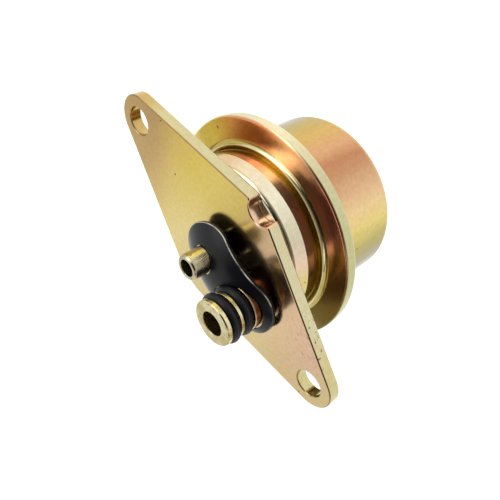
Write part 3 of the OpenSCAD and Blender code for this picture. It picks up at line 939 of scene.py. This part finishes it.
@dataclass
class FuelPorts:
    """Turned inlet nipple with its two sealing rings, and the return tube."""

    nipple_x: float = 12.5
    nipple_len: float = 11.5
    tip_collar_r: float = 5.3
    tip_collar_t: float = 1.1
    tip_chamfer: float = 0.25
    groove_w: float = 2.65
    groove_r: float = 3.45
    land_r: float = 5.15
    land_t: float = 0.8
    base_collar_r: float = 5.5
    spigot_r: float = 4.2
    spigot_z: float = -4.3
    bore_r: float = 2.85
    bore_depth: float = 8.5
    orifice_r: float = 2.0
    seal_r: float = 5.8
    seal_cord_r: float = 1.15
    tube_r: float = 3.0
    tube_len: float = 9.6
    tube_bore_r: float = 2.0
    tube_chamfer: float = 0.35
    tube_spigot_r: float = 2.7
    tube_end_z: float = -7.6
    mould_line: float = 0.015
    mould_line_angle: float = 0.08
    cord_steps: int = 48
    round_steps: int = 160
    tube_steps: int = 128

    def nipple(self, material: bpy.types.Material) -> bpy.types.Object:
        """Turns the nipple: tip collar, two grooves with a land between them, and base collar.

        Args:
            material: Finish of the nipple.

        Returns:
            The finished object.
        """
        tip, c = self.nipple_len, self.tip_chamfer
        front_z = tip - self.tip_collar_t
        land_z = front_z - self.groove_w
        rear_z = land_z - self.land_t
        base_z = rear_z - self.groove_w
        bore_z = tip - self.bore_depth
        corners = np.array(
            [
                [self.bore_r, tip, 0.12],
                [self.tip_collar_r - c, tip, 0.06],
                [self.tip_collar_r, tip - c, 0.06],
                [self.tip_collar_r, front_z, 0.1],
                [self.groove_r, front_z, 0.15],
                [self.groove_r, land_z, 0.15],
                [self.land_r, land_z, 0.12],
                [self.land_r, rear_z, 0.12],
                [self.groove_r, rear_z, 0.15],
                [self.groove_r, base_z, 0.15],
                [self.base_collar_r, base_z, 0.2],
                [self.base_collar_r, 0.0, 0.08],
                [self.spigot_r, 0.0, 0.05],
                [self.spigot_r, self.spigot_z, 0.1],
                [self.orifice_r, self.spigot_z, 0.1],
                [self.orifice_r, bore_z, 0.15],
                [self.bore_r, bore_z, 0.1],
            ]
        )
        return turned_piece(
            "turned_nipple",
            corners,
            material,
            "inlet_nipple",
            Slot.PALE_ZINC,
            self.round_steps,
            self.nipple_x,
        )

    def seal(
        self, name: str, node: str, groove_top: float, material: bpy.types.Material
    ) -> bpy.types.Object:
        """Makes a sealing ring: a torus whose cord carries a thin mould line at its equator.

        The cord's radius is its nominal radius less the line's height, plus a bell of that height
        of the angle from the equator.

        Args:
            name: Name of the object.
            node: Frame node that the ring stands for.
            groove_top: Height of the groove's upper wall.
            material: Finish of the ring.

        Returns:
            The finished object.
        """
        angle = np.linspace(-np.pi, np.pi, self.cord_steps, endpoint=False)
        line = self.mould_line * np.exp(-((angle / self.mould_line_angle) ** 2))
        cord = self.seal_cord_r - self.mould_line + line
        radius = self.seal_r - self.seal_cord_r + cord * np.cos(angle)
        height = groove_top - self.groove_w / 2 + cord * np.sin(angle)
        profile = np.stack([radius, height], axis=1)
        shell = Shell()
        shell.add_grid(revolve(profile, self.round_steps, self.nipple_x), wrap_rows=True)
        return shell.piece(name, material, node, Slot.SEAL_RUBBER, Body.HOUSING)

    def seals(self, material: bpy.types.Material) -> list[bpy.types.Object]:
        """Makes both sealing rings in their grooves.

        Args:
            material: Finish of the rings.

        Returns:
            The front ring and the rear ring.
        """
        front_z = self.nipple_len - self.tip_collar_t
        rear_z = front_z - self.groove_w - self.land_t
        return [
            self.seal("front_seal", "front_o_ring", front_z, material),
            self.seal("rear_seal", "rear_o_ring", rear_z, material),
        ]

    def tube(self, material: bpy.types.Material) -> bpy.types.Object:
        """Turns the return tube with its chamfered end and the spigot through the plate.

        Args:
            material: Finish of the tube.

        Returns:
            The finished object.
        """
        c = self.tube_chamfer
        corners = np.array(
            [
                [self.tube_bore_r, self.tube_len, 0.12],
                [self.tube_r - c, self.tube_len, 0.1],
                [self.tube_r, self.tube_len - c, 0.1],
                [self.tube_r, 0.0, 0.06],
                [self.tube_spigot_r, 0.0, 0.05],
                [self.tube_spigot_r, self.tube_end_z, 0.1],
                [self.tube_bore_r, self.tube_end_z, 0.1],
            ]
        )
        return turned_piece(
            "return_pipe", corners, material, "return_tube", Slot.PALE_ZINC, self.tube_steps
        )


@dataclass
class VacuumPort:
    """Hose nipple in the closed end of the spring can."""

    end_z: float = -34.1
    floor_z: float = -33.2
    length: float = 11.0
    stem_r: float = 2.3
    bead_r: float = 2.8
    bore_r: float = 1.3
    shoulder_r: float = 4.5
    shoulder_t: float = 1.2
    spigot_r: float = 2.6
    swage_r: float = 3.4
    swage_t: float = 0.5
    round_steps: int = 112

    def build(self, material: bpy.types.Material) -> bpy.types.Object:
        """Turns the nipple: shoulder on the can, stem, hose bead and nose.

        Args:
            material: Finish of the nipple.

        Returns:
            The finished object.
        """
        tip, bead = self.end_z - self.length, self.bead_r - self.stem_r
        nose = tip + 4 * bead
        corners = np.array(
            [
                [self.bore_r, self.floor_z + self.swage_t, 0.05],
                [self.swage_r, self.floor_z + self.swage_t, 0.2],
                [self.swage_r, self.floor_z, 0.05],
                [self.spigot_r, self.floor_z, 0.05],
                [self.spigot_r, self.end_z, 0.05],
                [self.shoulder_r, self.end_z, 0.1],
                [self.shoulder_r, self.end_z - self.shoulder_t, 0.25],
                [self.stem_r, self.end_z - self.shoulder_t, 0.3],
                [self.stem_r, nose + 2 * bead, 0.3],
                [self.bead_r, nose + bead, 0.2],
                [self.bead_r, nose, 0.2],
                [self.stem_r - bead, tip, 0.15],
                [self.bore_r, tip, 0.1],
            ]
        )
        return turned_piece(
            "hose_nipple", corners, material, "vacuum_nipple", Slot.PALE_ZINC, self.round_steps
        )


@dataclass
class CuppedGasket:
    """Loose rubber sheet with two round ends, bowed along X and cupped across its width."""

    thickness: float = 0.6
    end_r: float = 7.6
    nipple_x: float = 12.5
    tube_hole_r: float = 3.2
    nipple_hole_r: float = 5.85
    play_y: float = -0.15
    bow_r: float = 28.0
    cup_r: float = 13.0
    crest: Place = (5.1, -0.6, 6.1)
    edge_r: float = 0.2
    edge_steps: int = 6
    mesh_mm: float = 0.6
    mesh_room: float = 0.3
    end_steps: int = 64
    side_steps: int = 22
    hole_steps: int = 96
    back_normal: float = -0.5

    def lift(self, flat: Array) -> Array:
        """Bows and cups the flat sheet.

        The sheet lies between two tori about one axis along Y, below the crest by the bow's
        radius. Across the width a point rises by the root of the squared cup radius less its
        squared distance from the crest line. That rise, added to the tori's ring radius, is the
        radius of its arc along X.

        Args:
            flat: Points of the flat sheet with height from nought to the thickness, (n, 3).

        Returns:
            Points of the cupped sheet, of shape (n, 3).
        """
        crest_x, crest_y, crest_z = self.crest
        cup = self.cup_r - self.thickness + flat[:, 2]
        arm = self.bow_r - self.cup_r + np.sqrt(cup**2 - (flat[:, 1] - crest_y) ** 2)
        height = crest_z - self.bow_r + np.sqrt(arm**2 - (flat[:, 0] - crest_x) ** 2)
        return np.stack([flat[:, 0], flat[:, 1], height], axis=1)

    def edge_profile(self) -> Array:
        """Works out the cut edge: a flat wall with two small rounded corners.

        Returns:
            Inset and height of each point, of shape (k, 2).
        """
        r, t = self.edge_r, self.thickness
        turn = np.linspace(0.0, np.pi / 2, self.edge_steps)
        upper = np.stack([r * (1 - np.sin(turn)), t - r * (1 - np.cos(turn))], axis=1)
        lower = np.stack([r * (1 - np.cos(turn)), r * (1 - np.sin(turn))], axis=1)
        return np.concatenate([[[2 * r, t]], upper, lower, [[2 * r, 0.0]]])

    def build(self, material: bpy.types.Material, back: bpy.types.Material) -> bpy.types.Object:
        """Builds the sheet flat, from edge bands and two filled faces, and then cups it.

        Args:
            material: Finish of the gasket's front and edges.
            back: Finish of the face towards the plate.

        Returns:
            The finished object.
        """
        right, left = (-90.0, 90.0, self.end_steps), (90.0, 270.0, self.end_steps)
        side = np.linspace(0.0, self.nipple_x, self.side_steps)[1:-1]
        lower = np.stack([side, np.full(len(side), -self.end_r)], axis=1)
        upper = np.stack([side[::-1], np.full(len(side), self.end_r)], axis=1)
        ends = (arc(self.nipple_x, 0.0, self.end_r, *right), arc(0.0, 0.0, self.end_r, *left))
        path = np.concatenate([ends[0], upper, ends[1], lower])
        outward = np.concatenate(
            [
                arc(0.0, 0.0, 1.0, *right),
                np.tile([0.0, 1.0], (len(side), 1)),
                arc(0.0, 0.0, 1.0, *left),
                np.tile([0.0, -1.0], (len(side), 1)),
            ]
        )
        holes = ((0.0, self.tube_hole_r), (self.nipple_x, self.nipple_hole_r))
        profile = self.edge_profile()
        bands = [edge_band(path, outward, profile)]
        for x, radius in holes:
            bands.append(edge_band(*hole_rim(x, self.play_y, radius, self.hole_steps), profile))
        xs = np.arange(-self.end_r, self.nipple_x + self.end_r, self.mesh_mm)
        ys = np.arange(-self.end_r, self.end_r, self.mesh_mm)
        inner = np.stack(np.meshgrid(xs, ys), axis=2).reshape(-1, 2)
        room = 2 * self.edge_r + self.mesh_room
        spine = np.stack([np.clip(inner[:, 0], 0.0, self.nipple_x), np.zeros(len(inner))], axis=1)
        inside = np.linalg.norm(inner - spine, axis=1) < self.end_r - room
        clear = [np.linalg.norm(inner - [x, self.play_y], axis=1) > radius + room for x, radius in holes]
        inner = inner[inside & clear[0] & clear[1]]
        shell = Shell()
        for band in bands:
            shell.add_grid(self.lift(band.reshape(-1, 3)).reshape(band.shape), wrap_rows=False)
        for row in (0, -1):
            flat, triangles = fill([band[row] for band in bands], inner)
            shell.add(self.lift(flat), triangles)
        piece = shell.piece("cupped_gasket", material, "flange_gasket", Slot.GASKET_RUBBER, Body.HOUSING)
        piece.data.materials.append(back)
        normals = np.empty(3 * len(piece.data.polygons), dtype=np.float32)
        piece.data.polygons.foreach_get("normal", normals)
        facing_back = (normals[2::3] < self.back_normal).astype(np.int32)
        piece.data.polygons.foreach_set("material_index", facing_back)
        return piece


@dataclass
class InnerParts:
    """Sealed pieces: most keep their frame solids, and the two that give way are rebuilt as loose meshes.
    """

    steel: tuple[str, ...] = (
        "valve_seat",
        "valve_holder",
        "valve_ball",
        "valve_retainer",
        "diaphragm_washer",
        "spring_plate",
        "spring_seat",
    )
    wire: tuple[str, ...] = ("ball_spring",)
    wire_r: float = 1.2
    coil_r: float = 12.0
    coil_turns: float = 4.5
    closed_pitch: float = 2.592
    sheet_hole_r: float = 4.7
    sheet_held_r: float = 14.6
    sheet_clamp_r: float = 19.5
    coil_steps: int = 217
    wire_steps: int = 20
    sheet_rows: int = 61
    sheet_steps: int = 120

    def dress(self, steel: bpy.types.Material, wire: bpy.types.Material) -> None:
        """Gives each frame solid its finish.

        Args:
            steel: Finish of the turned pieces.
            wire: Finish of the ball's spring.
        """
        for names, material in ((self.steel, steel), (self.wire, wire)):
            for name in names:
                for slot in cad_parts[name].material_slots:
                    slot.material = material
                LOG.info("%s: frame solid dressed with %s", name, material.name)

    def main_spring(self, material: bpy.types.Material) -> bpy.types.Object:
        """Winds the main spring between the ends of its frame solid.

        A point stands on a circle of the wire's radius, which is carried round the axis at the
        coil's radius. It climbs by the closed pitch in the first and last turns and evenly between.

        Args:
            material: Finish of the wire.

        Returns:
            The finished object.
        """
        low, high = (corner.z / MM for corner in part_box("main_spring"))
        turn = np.linspace(0.0, self.coil_turns, self.coil_steps)
        rise = high - low - 2 * self.wire_r
        climb = np.interp(
            turn,
            (0.0, 1.0, self.coil_turns - 1, self.coil_turns),
            (0.0, self.closed_pitch, rise - self.closed_pitch, rise),
        )
        section = np.linspace(0.0, 2 * np.pi, self.wire_steps, endpoint=False)
        radius = (self.coil_r + self.wire_r * np.cos(section))[None]
        angle = (2 * np.pi * turn)[:, None]
        height = (low + self.wire_r + climb)[:, None] + self.wire_r * np.sin(section)
        coil = np.stack([radius * np.cos(angle), radius * np.sin(angle), height], axis=2)
        shell = Shell()
        shell.add_grid(coil, wrap_rows=False)
        last = shell.count - len(section)
        shell.faces += [list(range(len(section))), list(range(last, shell.count))]
        piece = shell.piece("wound_spring", material, "main_spring", Slot.SPRING_STEEL, None)
        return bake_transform(piece)

    def diaphragm(self, material: bpy.types.Material) -> bpy.types.Object:
        """Turns the diaphragm's sheet between the faces of its frame solid.

        The profile runs out along one face and back along the other. The mesh is laid out by
        radius, its transform is baked in, and then each vertex goes back to its own place.

        Args:
            material: Finish of the sheet.

        Returns:
            The finished object.
        """
        low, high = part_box("diaphragm")
        across = np.linspace(self.sheet_hole_r, high.x / MM, self.sheet_rows)
        faces = [np.stack([across, np.full(len(across), z / MM)], axis=1) for z in (low.z, high.z)]
        profile = np.concatenate([faces[0], faces[1][::-1]])
        shell = Shell()
        shell.add_grid(revolve(profile, self.sheet_steps), wrap_rows=True)
        piece = shell.piece("rubber_diaphragm", material, "diaphragm", Slot.GASKET_RUBBER, None)
        vertices = piece.data.vertices
        points = np.empty(3 * len(vertices), dtype=np.float32)
        vertices.foreach_get("co", points)
        laid = np.zeros((len(vertices), 3), dtype=np.float32)
        laid[:, 0] = np.hypot(points[0::3], points[1::3])
        vertices.foreach_set("co", laid.ravel())
        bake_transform(piece)
        vertices.foreach_set("co", points)
        piece.data.update()
        return piece


@dataclass
class PhotoCamera:
    """Camera at the photograph's place, turned about its line of sight as the photograph is."""

    place: Place = (14.92, 105.75, 62.84)
    right: Place = (0.5431, 0.4154, -0.7297)
    back: Place = (0.0924, 0.8342, 0.5437)
    focal_px: float = 572.33
    width_px: float = 500.0
    sensor_mm: float = 36.0
    nearest_m: float = 0.005
    farthest_m: float = 50.0

    def build(self) -> bpy.types.Object:
        """Makes the camera and sets it as the scene's own.

        Returns:
            The camera object.
        """
        data = bpy.data.cameras.new("photo_camera")
        data.sensor_width = self.sensor_mm
        data.lens = self.focal_px / self.width_px * self.sensor_mm
        data.clip_start = self.nearest_m
        data.clip_end = self.farthest_m
        camera = bpy.data.objects.new("photo_camera", data)
        bpy.context.scene.collection.objects.link(camera)
        back = Vector(self.back).normalized()
        right = (Vector(self.right) - Vector(self.right).dot(back) * back).normalized()
        up = back.cross(right)
        turn = Matrix((right, up, back)).transposed().to_4x4()
        camera.matrix_world = Matrix.Translation(Vector(self.place) * MM) @ turn
        bpy.context.scene.camera = camera
        return camera


@dataclass
class Lamp:
    """One soft box of the studio."""

    name: str
    direction: Place
    distance: float
    width: float
    height: float
    radiance: float

    def build(self) -> bpy.types.Object:
        """Makes a rectangular area lamp that faces the part.

        An area lamp's power is its radiance times pi times its area.

        Returns:
            The lamp object.
        """
        data = bpy.data.lights.new(self.name, "AREA")
        data.shape = "RECTANGLE"
        data.size, data.size_y = self.width, self.height
        data.energy = self.radiance * math.pi * self.width * self.height
        lamp = bpy.data.objects.new(self.name, data)
        bpy.context.scene.collection.objects.link(lamp)
        aim = Vector(self.direction).normalized()
        lamp.location = aim * self.distance
        lamp.rotation_euler = aim.to_track_quat("Z", "Y").to_euler()
        lamp.visible_camera = False
        return lamp


@dataclass
class Studio:
    """Pale floor, white surround, a dark ceiling that comes down on the camera's side, soft boxes."""

    floor_z: float = -0.11
    floor_half: float = 6.0
    floor_glow: float = 0.76
    fill_level: float = 0.55
    ceiling_from: float = 80.0
    ceiling_top: float = 89.5
    front_azimuth: float = 55.0
    front_half_width: float = 95.0
    front_from: float = 8.0
    ceiling_radius: float = 0.75
    ceiling_rows: int = 24
    ceiling_columns: int = 96
    ceiling_shades: Stops = (
        (0.0, "#c8c2b8"),
        (0.45, "#958d82"),
        (0.62, "#6e665c"),
        (0.75, "#453f38"),
        (0.92, "#1c1916"),
    )
    lamps: tuple[Lamp, ...] = (
        Lamp("key_box", (-0.62, 0.38, 0.69), 0.5, 0.34, 0.46, 1.6),
        Lamp("side_box", (0.78, 0.11, 0.616), 0.5, 0.14, 0.24, 1.0),
    )

    def floor(self) -> bpy.types.Object:
        """Lays the pale floor, which shows white and keeps the part's shadow.

        Returns:
            The floor object.
        """
        material, tree = new_material("white_table")
        paint = add_node(tree, "BsdfDiffuse", {"Color": linear("#f2f2f2")})
        glow = add_node(tree, "Emission", {"Color": WHITE, "Strength": self.floor_glow})
        both = add_node(tree, "AddShader", {0: paint, 1: glow})
        add_node(tree, "OutputMaterial", {"Surface": both})
        side = np.array([-self.floor_half, self.floor_half])
        corners = np.stack(np.meshgrid(side, side), axis=2).reshape(-1, 2)
        points = np.concatenate([corners, np.full((4, 1), self.floor_z)], axis=1)
        mesh = bpy.data.meshes.new("table_top")
        mesh.from_pydata(points.tolist(), [], [[0, 1, 3, 2]])
        mesh.materials.append(material)
        floor = bpy.data.objects.new("table_top", mesh)
        bpy.context.scene.collection.objects.link(floor)
        return floor

    def ceiling(self) -> bpy.types.Object:
        """Hangs the ceiling, which darkens towards the top: part of a sphere round the part.

        A point is at the radius along its azimuth and elevation. The lowest elevation is that of
        the ceiling less a bell of the azimuth's distance from the camera's side.

        Returns:
            The ceiling object.
        """
        material, tree = new_material("dark_ceiling_paint")
        place = add_node(tree, "TexCoord").outputs["Object"]
        high = add_node(tree, "SeparateXYZ", {0: place}).outputs["Z"]
        rise = add_node(tree, "Math", {0: high, 1: self.ceiling_radius}, operation="DIVIDE")
        shade = add_node(tree, "ValToRGB", {"Fac": rise}, stops=self.ceiling_shades)
        add_node(tree, "OutputMaterial", {"Surface": add_node(tree, "Emission", {"Color": shade})})
        rows, columns = self.ceiling_rows, self.ceiling_columns
        turn = np.linspace(-180.0, 180.0, columns, endpoint=False)[None]
        off = (turn - self.front_azimuth + 180.0) % 360.0 - 180.0
        bell = np.exp(-((off / self.front_half_width) ** 4))
        lowest = self.ceiling_from - (self.ceiling_from - self.front_from) * bell
        share = np.linspace(0.0, 1.0, rows)[:, None]
        tilt = np.radians(lowest + (self.ceiling_top - lowest) * share)
        turn = np.broadcast_to(np.radians(turn), tilt.shape)
        dome = self.ceiling_radius * np.stack(
            [np.cos(tilt) * np.cos(turn), np.cos(tilt) * np.sin(turn), np.sin(tilt)], axis=2
        )
        mesh = bpy.data.meshes.new("dark_ceiling")
        quads = grid_quads(rows, columns, wrap_rows=False)
        mesh.from_pydata(dome.reshape(-1, 3).tolist(), [], quads.tolist())
        mesh.materials.append(material)
        ceiling = bpy.data.objects.new("dark_ceiling", mesh)
        bpy.context.scene.collection.objects.link(ceiling)
        ceiling.visible_camera = False
        ceiling.visible_shadow = False
        return ceiling

    def surround(self) -> None:
        """Sets a white surround that the camera and reflections see, and a softer fill light."""
        world = bpy.data.worlds.new("white_surround")
        world.use_nodes = True
        tree = world.node_tree
        tree.nodes.clear()
        rays = add_node(tree, "LightPath").outputs
        seen = {0: rays["Is Camera Ray"], 1: rays["Is Glossy Ray"]}
        seen = add_node(tree, "Math", seen, operation="MAXIMUM")
        clear = add_node(tree, "Math", {0: seen, 1: rays["Is Transmission Ray"]}, operation="MAXIMUM")
        level = add_node(tree, "MapRange", {"Value": clear, "To Min": self.fill_level, "To Max": 1.0})
        light = add_node(tree, "Background", {"Color": WHITE, "Strength": level})
        add_node(tree, "OutputWorld", {"Surface": light})
        bpy.context.scene.world = world

    def build(self) -> None:
        """Sets up the floor, the ceiling, the surround and the lamps."""
        self.floor()
        self.ceiling()
        self.surround()
        for lamp in self.lamps:
            lamp.build()
        bpy.context.scene.view_settings.view_transform = "Standard"


# The plate's tints run along X from end to end, and those of the housing and the can round the axis
# from -180 to 180 degrees. They are matched to the object as it looks, so a dark tint may also hold
# some reflection or shade.
PLATE_ZINC = ZincDichromate(
    "zinc_dichromate_plate",
    (
        Film(
            ((0.08, "#c0a468"), (0.13, "#c6bd8c"), (0.5, "#c8c09c"), (0.8, "#ccc4a0"), (0.9, "#c8be8c")),
            tint_or_light_patch="#dcb8a0",
            tint_or_light_patch_at_mm=(0.0, 18.0, -1.4),
            tint_or_light_patch_reach_mm=4.0,
        ),
        # The rolled front edge is a painted reflection: dark of the ceiling at +Y, pale at -Y, with a
        # painted highlight at the notch.
        Film(
            ((0.1, "#907650"), (0.5, "#6c563a"), (0.9, "#7c664a")),
            ((0.1, "#bfa067"), (0.5, "#d9c890"), (0.9, "#d2b984")),
            above_mm=-0.22,
            fade_mm=0.03,
            tint_or_light_patch="#d6ab92",
            tint_or_light_patch_at_mm=(0.0, 18.6, 0.0),
        ),
        Film(
            (
                (0.125, "#b2915b"),
                (0.225, "#d3b660"),
                (0.3, "#d8c05b"),
                (0.375, "#dbc46a"),
                (0.47, "#ceb465"),
                (0.56, "#ccad88"),
                (0.775, "#dfbd98"),
                (0.875, "#dab59c"),
                (0.95, "#d0bc8c"),
            ),
            (
                (0.15, "#bfa067"),
                (0.225, "#d3b874"),
                (0.3, "#e0cb80"),
                (0.375, "#e5d28f"),
                (0.46, "#d9c890"),
                (0.775, "#dbc490"),
                (0.85, "#d2b984"),
            ),
            above_mm=-0.05,
            fade_mm=0.03,
            # The dark patch round the tube's hole is painted shade from the gasket above it.
            tint_or_light_patch="#6a5228",
            tint_or_light_patch_reach_mm=4.6,
        ),
    ),
    wander=0.1,
    roughness=0.18,
)
HOUSING_ZINC = ZincDichromate(
    "zinc_dichromate_housing",
    (
        Film(((0.1, "#e0d09c"), (0.3, "#e0d4a0"), (0.6, "#e2d8a8"), (0.75, "#ece0b4"), (0.9, "#e0d09c"))),
        Film(
            (
                (0.1, "#d8a860"),
                (0.3, "#d8b468"),
                (0.6, "#e2c070"),
                (0.75, "#e6c878"),
                (0.83, "#e8c478"),
                (0.9, "#d8a860"),
            ),
            above_mm=-10.3,
            fade_mm=0.3,
        ),
        # Near the plate the grey-green tint about 65 degrees round is a painted reflection of the plate's
        # back.
        Film(
            (
                (0.05, "#d6be98"),
                (0.3, "#ddcca8"),
                (0.597, "#d2c280"),
                (0.639, "#dec2ae"),
                (0.681, "#c8c0a6"),
                (0.75, "#e2dcc4"),
                (0.833, "#dccaa8"),
                (0.875, "#cfb088"),
                (1.0, "#d4ba94"),
            ),
            above_mm=-8.6,
            fade_mm=0.8,
        ),
    ),
    drift=Drift.ROUND_AXIS,
    roughness=0.15,
    marks_reach_mm=0.1,
)
CAN_ZINC = ZincDichromate(
    "zinc_dichromate_can",
    (
        Film(((0.0, "#cdb674"), (0.5, "#c8b06c"), (1.0, "#cdb674"))),
        # The wall's darker pink band about 85 to 95 degrees round is partly film pink and partly painted
        # reflection; its dark tints near 20 and 150 degrees are painted shade.
        Film(
            (
                (0.05, "#c0a868"),
                (0.25, "#cfae6c"),
                (0.45, "#b8a868"),
                (0.556, "#8a8058"),
                (0.597, "#b0a45c"),
                (0.639, "#d8c478"),
                (0.681, "#dcc090"),
                (0.708, "#cea680"),
                (0.736, "#be8f6a"),
                (0.764, "#b8805c"),
                (0.792, "#cfa074"),
                (0.833, "#cca85c"),
                (0.875, "#b09a48"),
                (0.917, "#8a7c50"),
                (1.0, "#b8a468"),
            ),
            above_mm=-32.6,
            fade_mm=1.0,
        ),
        Film(
            (
                (0.05, "#c4be88"),
                (0.3, "#c8c088"),
                (0.611, "#b6b684"),
                (0.75, "#c2bd96"),
                (0.833, "#e6dcb6"),
                (0.917, "#b8b280"),
                (1.0, "#c0ba84"),
            ),
            above_mm=-13.4,
        ),
        # On the lip face the dark tints from -18 to 40 degrees are painted shade; the pale streak near 108
        # degrees is a painted highlight among orange tints that are partly painted reflection.
        Film(
            (
                (0.02, "#dcc474"),
                (0.3, "#c8b060"),
                (0.45, "#8c7c40"),
                (0.5, "#7c703c"),
                (0.556, "#7c6638"),
                (0.611, "#8a6648"),
                (0.653, "#e8ac84"),
                (0.708, "#ec9176"),
                (0.75, "#b07c5e"),
                (0.8, "#ffc89a"),
                (0.847, "#e09068"),
                (0.889, "#e49a70"),
                (0.931, "#e4bc6c"),
                (0.958, "#ecd67c"),
                (1.0, "#e0c876"),
            ),
            above_mm=-10.42,
        ),
    ),
    drift=Drift.ROUND_AXIS,
    cloud_mm=(7.0, 7.0, 40.0),
    marks_reach_mm=0.1,
    chip_at_mm=(-22.4, 9.5, -10.2),
)


def main() -> None:
    """Builds every piece in order, sets the camera and lights the part."""
    logging.basicConfig(level=logging.INFO, format="%(name)s: %(message)s")
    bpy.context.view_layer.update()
    # The nipple and the tube are painted darker low down, as painted shade under the gasket.
    nipple_zinc = TurnedMetal(
        "turned_zinc_nipple", "#d6cca4", "#b9aa70", axis_x_mm=12.5, shaded_foot_colour="#86583c", shaded_foot_mm=4.2
    ).build()
    tube_zinc = TurnedMetal("turned_zinc_tube", "#c8c1a4", "#aba17a", shaded_foot_colour="#3c2e20", shaded_foot_mm=5.2).build()
    vacuum_zinc = TurnedMetal("turned_zinc_vacuum", "#d6d0b4", "#b8ae84").build()
    bare_steel = TurnedMetal("turned_bare_steel", "#b8b5ae", "#8f8b84").build()
    wire_steel = TurnedMetal("drawn_spring_wire", "#6a6660", "#474440", roughness=0.34).build()
    seal_rubber = NitrileRubber("moulded_nitrile").build()
    sheet_rubber = NitrileRubber("nitrile_sheet", roughness=0.3, gleam=0.2).build()
    # The gasket's cut edge carries a pale painted highlight.
    gasket_rubber = NitrileRubber(
        "nitrile_gasket", roughness=0.3, gleam=0.28, spine_mm=12.5, cut_edge_mm=7.6
    ).build()
    gasket_back = NitrileRubber("nitrile_gasket_back", roughness=0.6, gleam=0.08).build()

    FlangePlate().build(PLATE_ZINC.build())
    shell = DiaphragmBody()
    shell.housing(HOUSING_ZINC.build())
    shell.can(CAN_ZINC.build())
    ports = FuelPorts()
    ports.nipple(nipple_zinc)
    ports.seals(seal_rubber)
    ports.tube(tube_zinc)
    CuppedGasket().build(gasket_rubber, gasket_back)
    VacuumPort().build(vacuum_zinc)
    inner = InnerParts()
    inner.main_spring(wire_steel)
    inner.diaphragm(sheet_rubber)
    inner.dress(bare_steel, wire_steel)

    PhotoCamera().build()
    Studio().build()


if __name__ == "__main__":
    main()
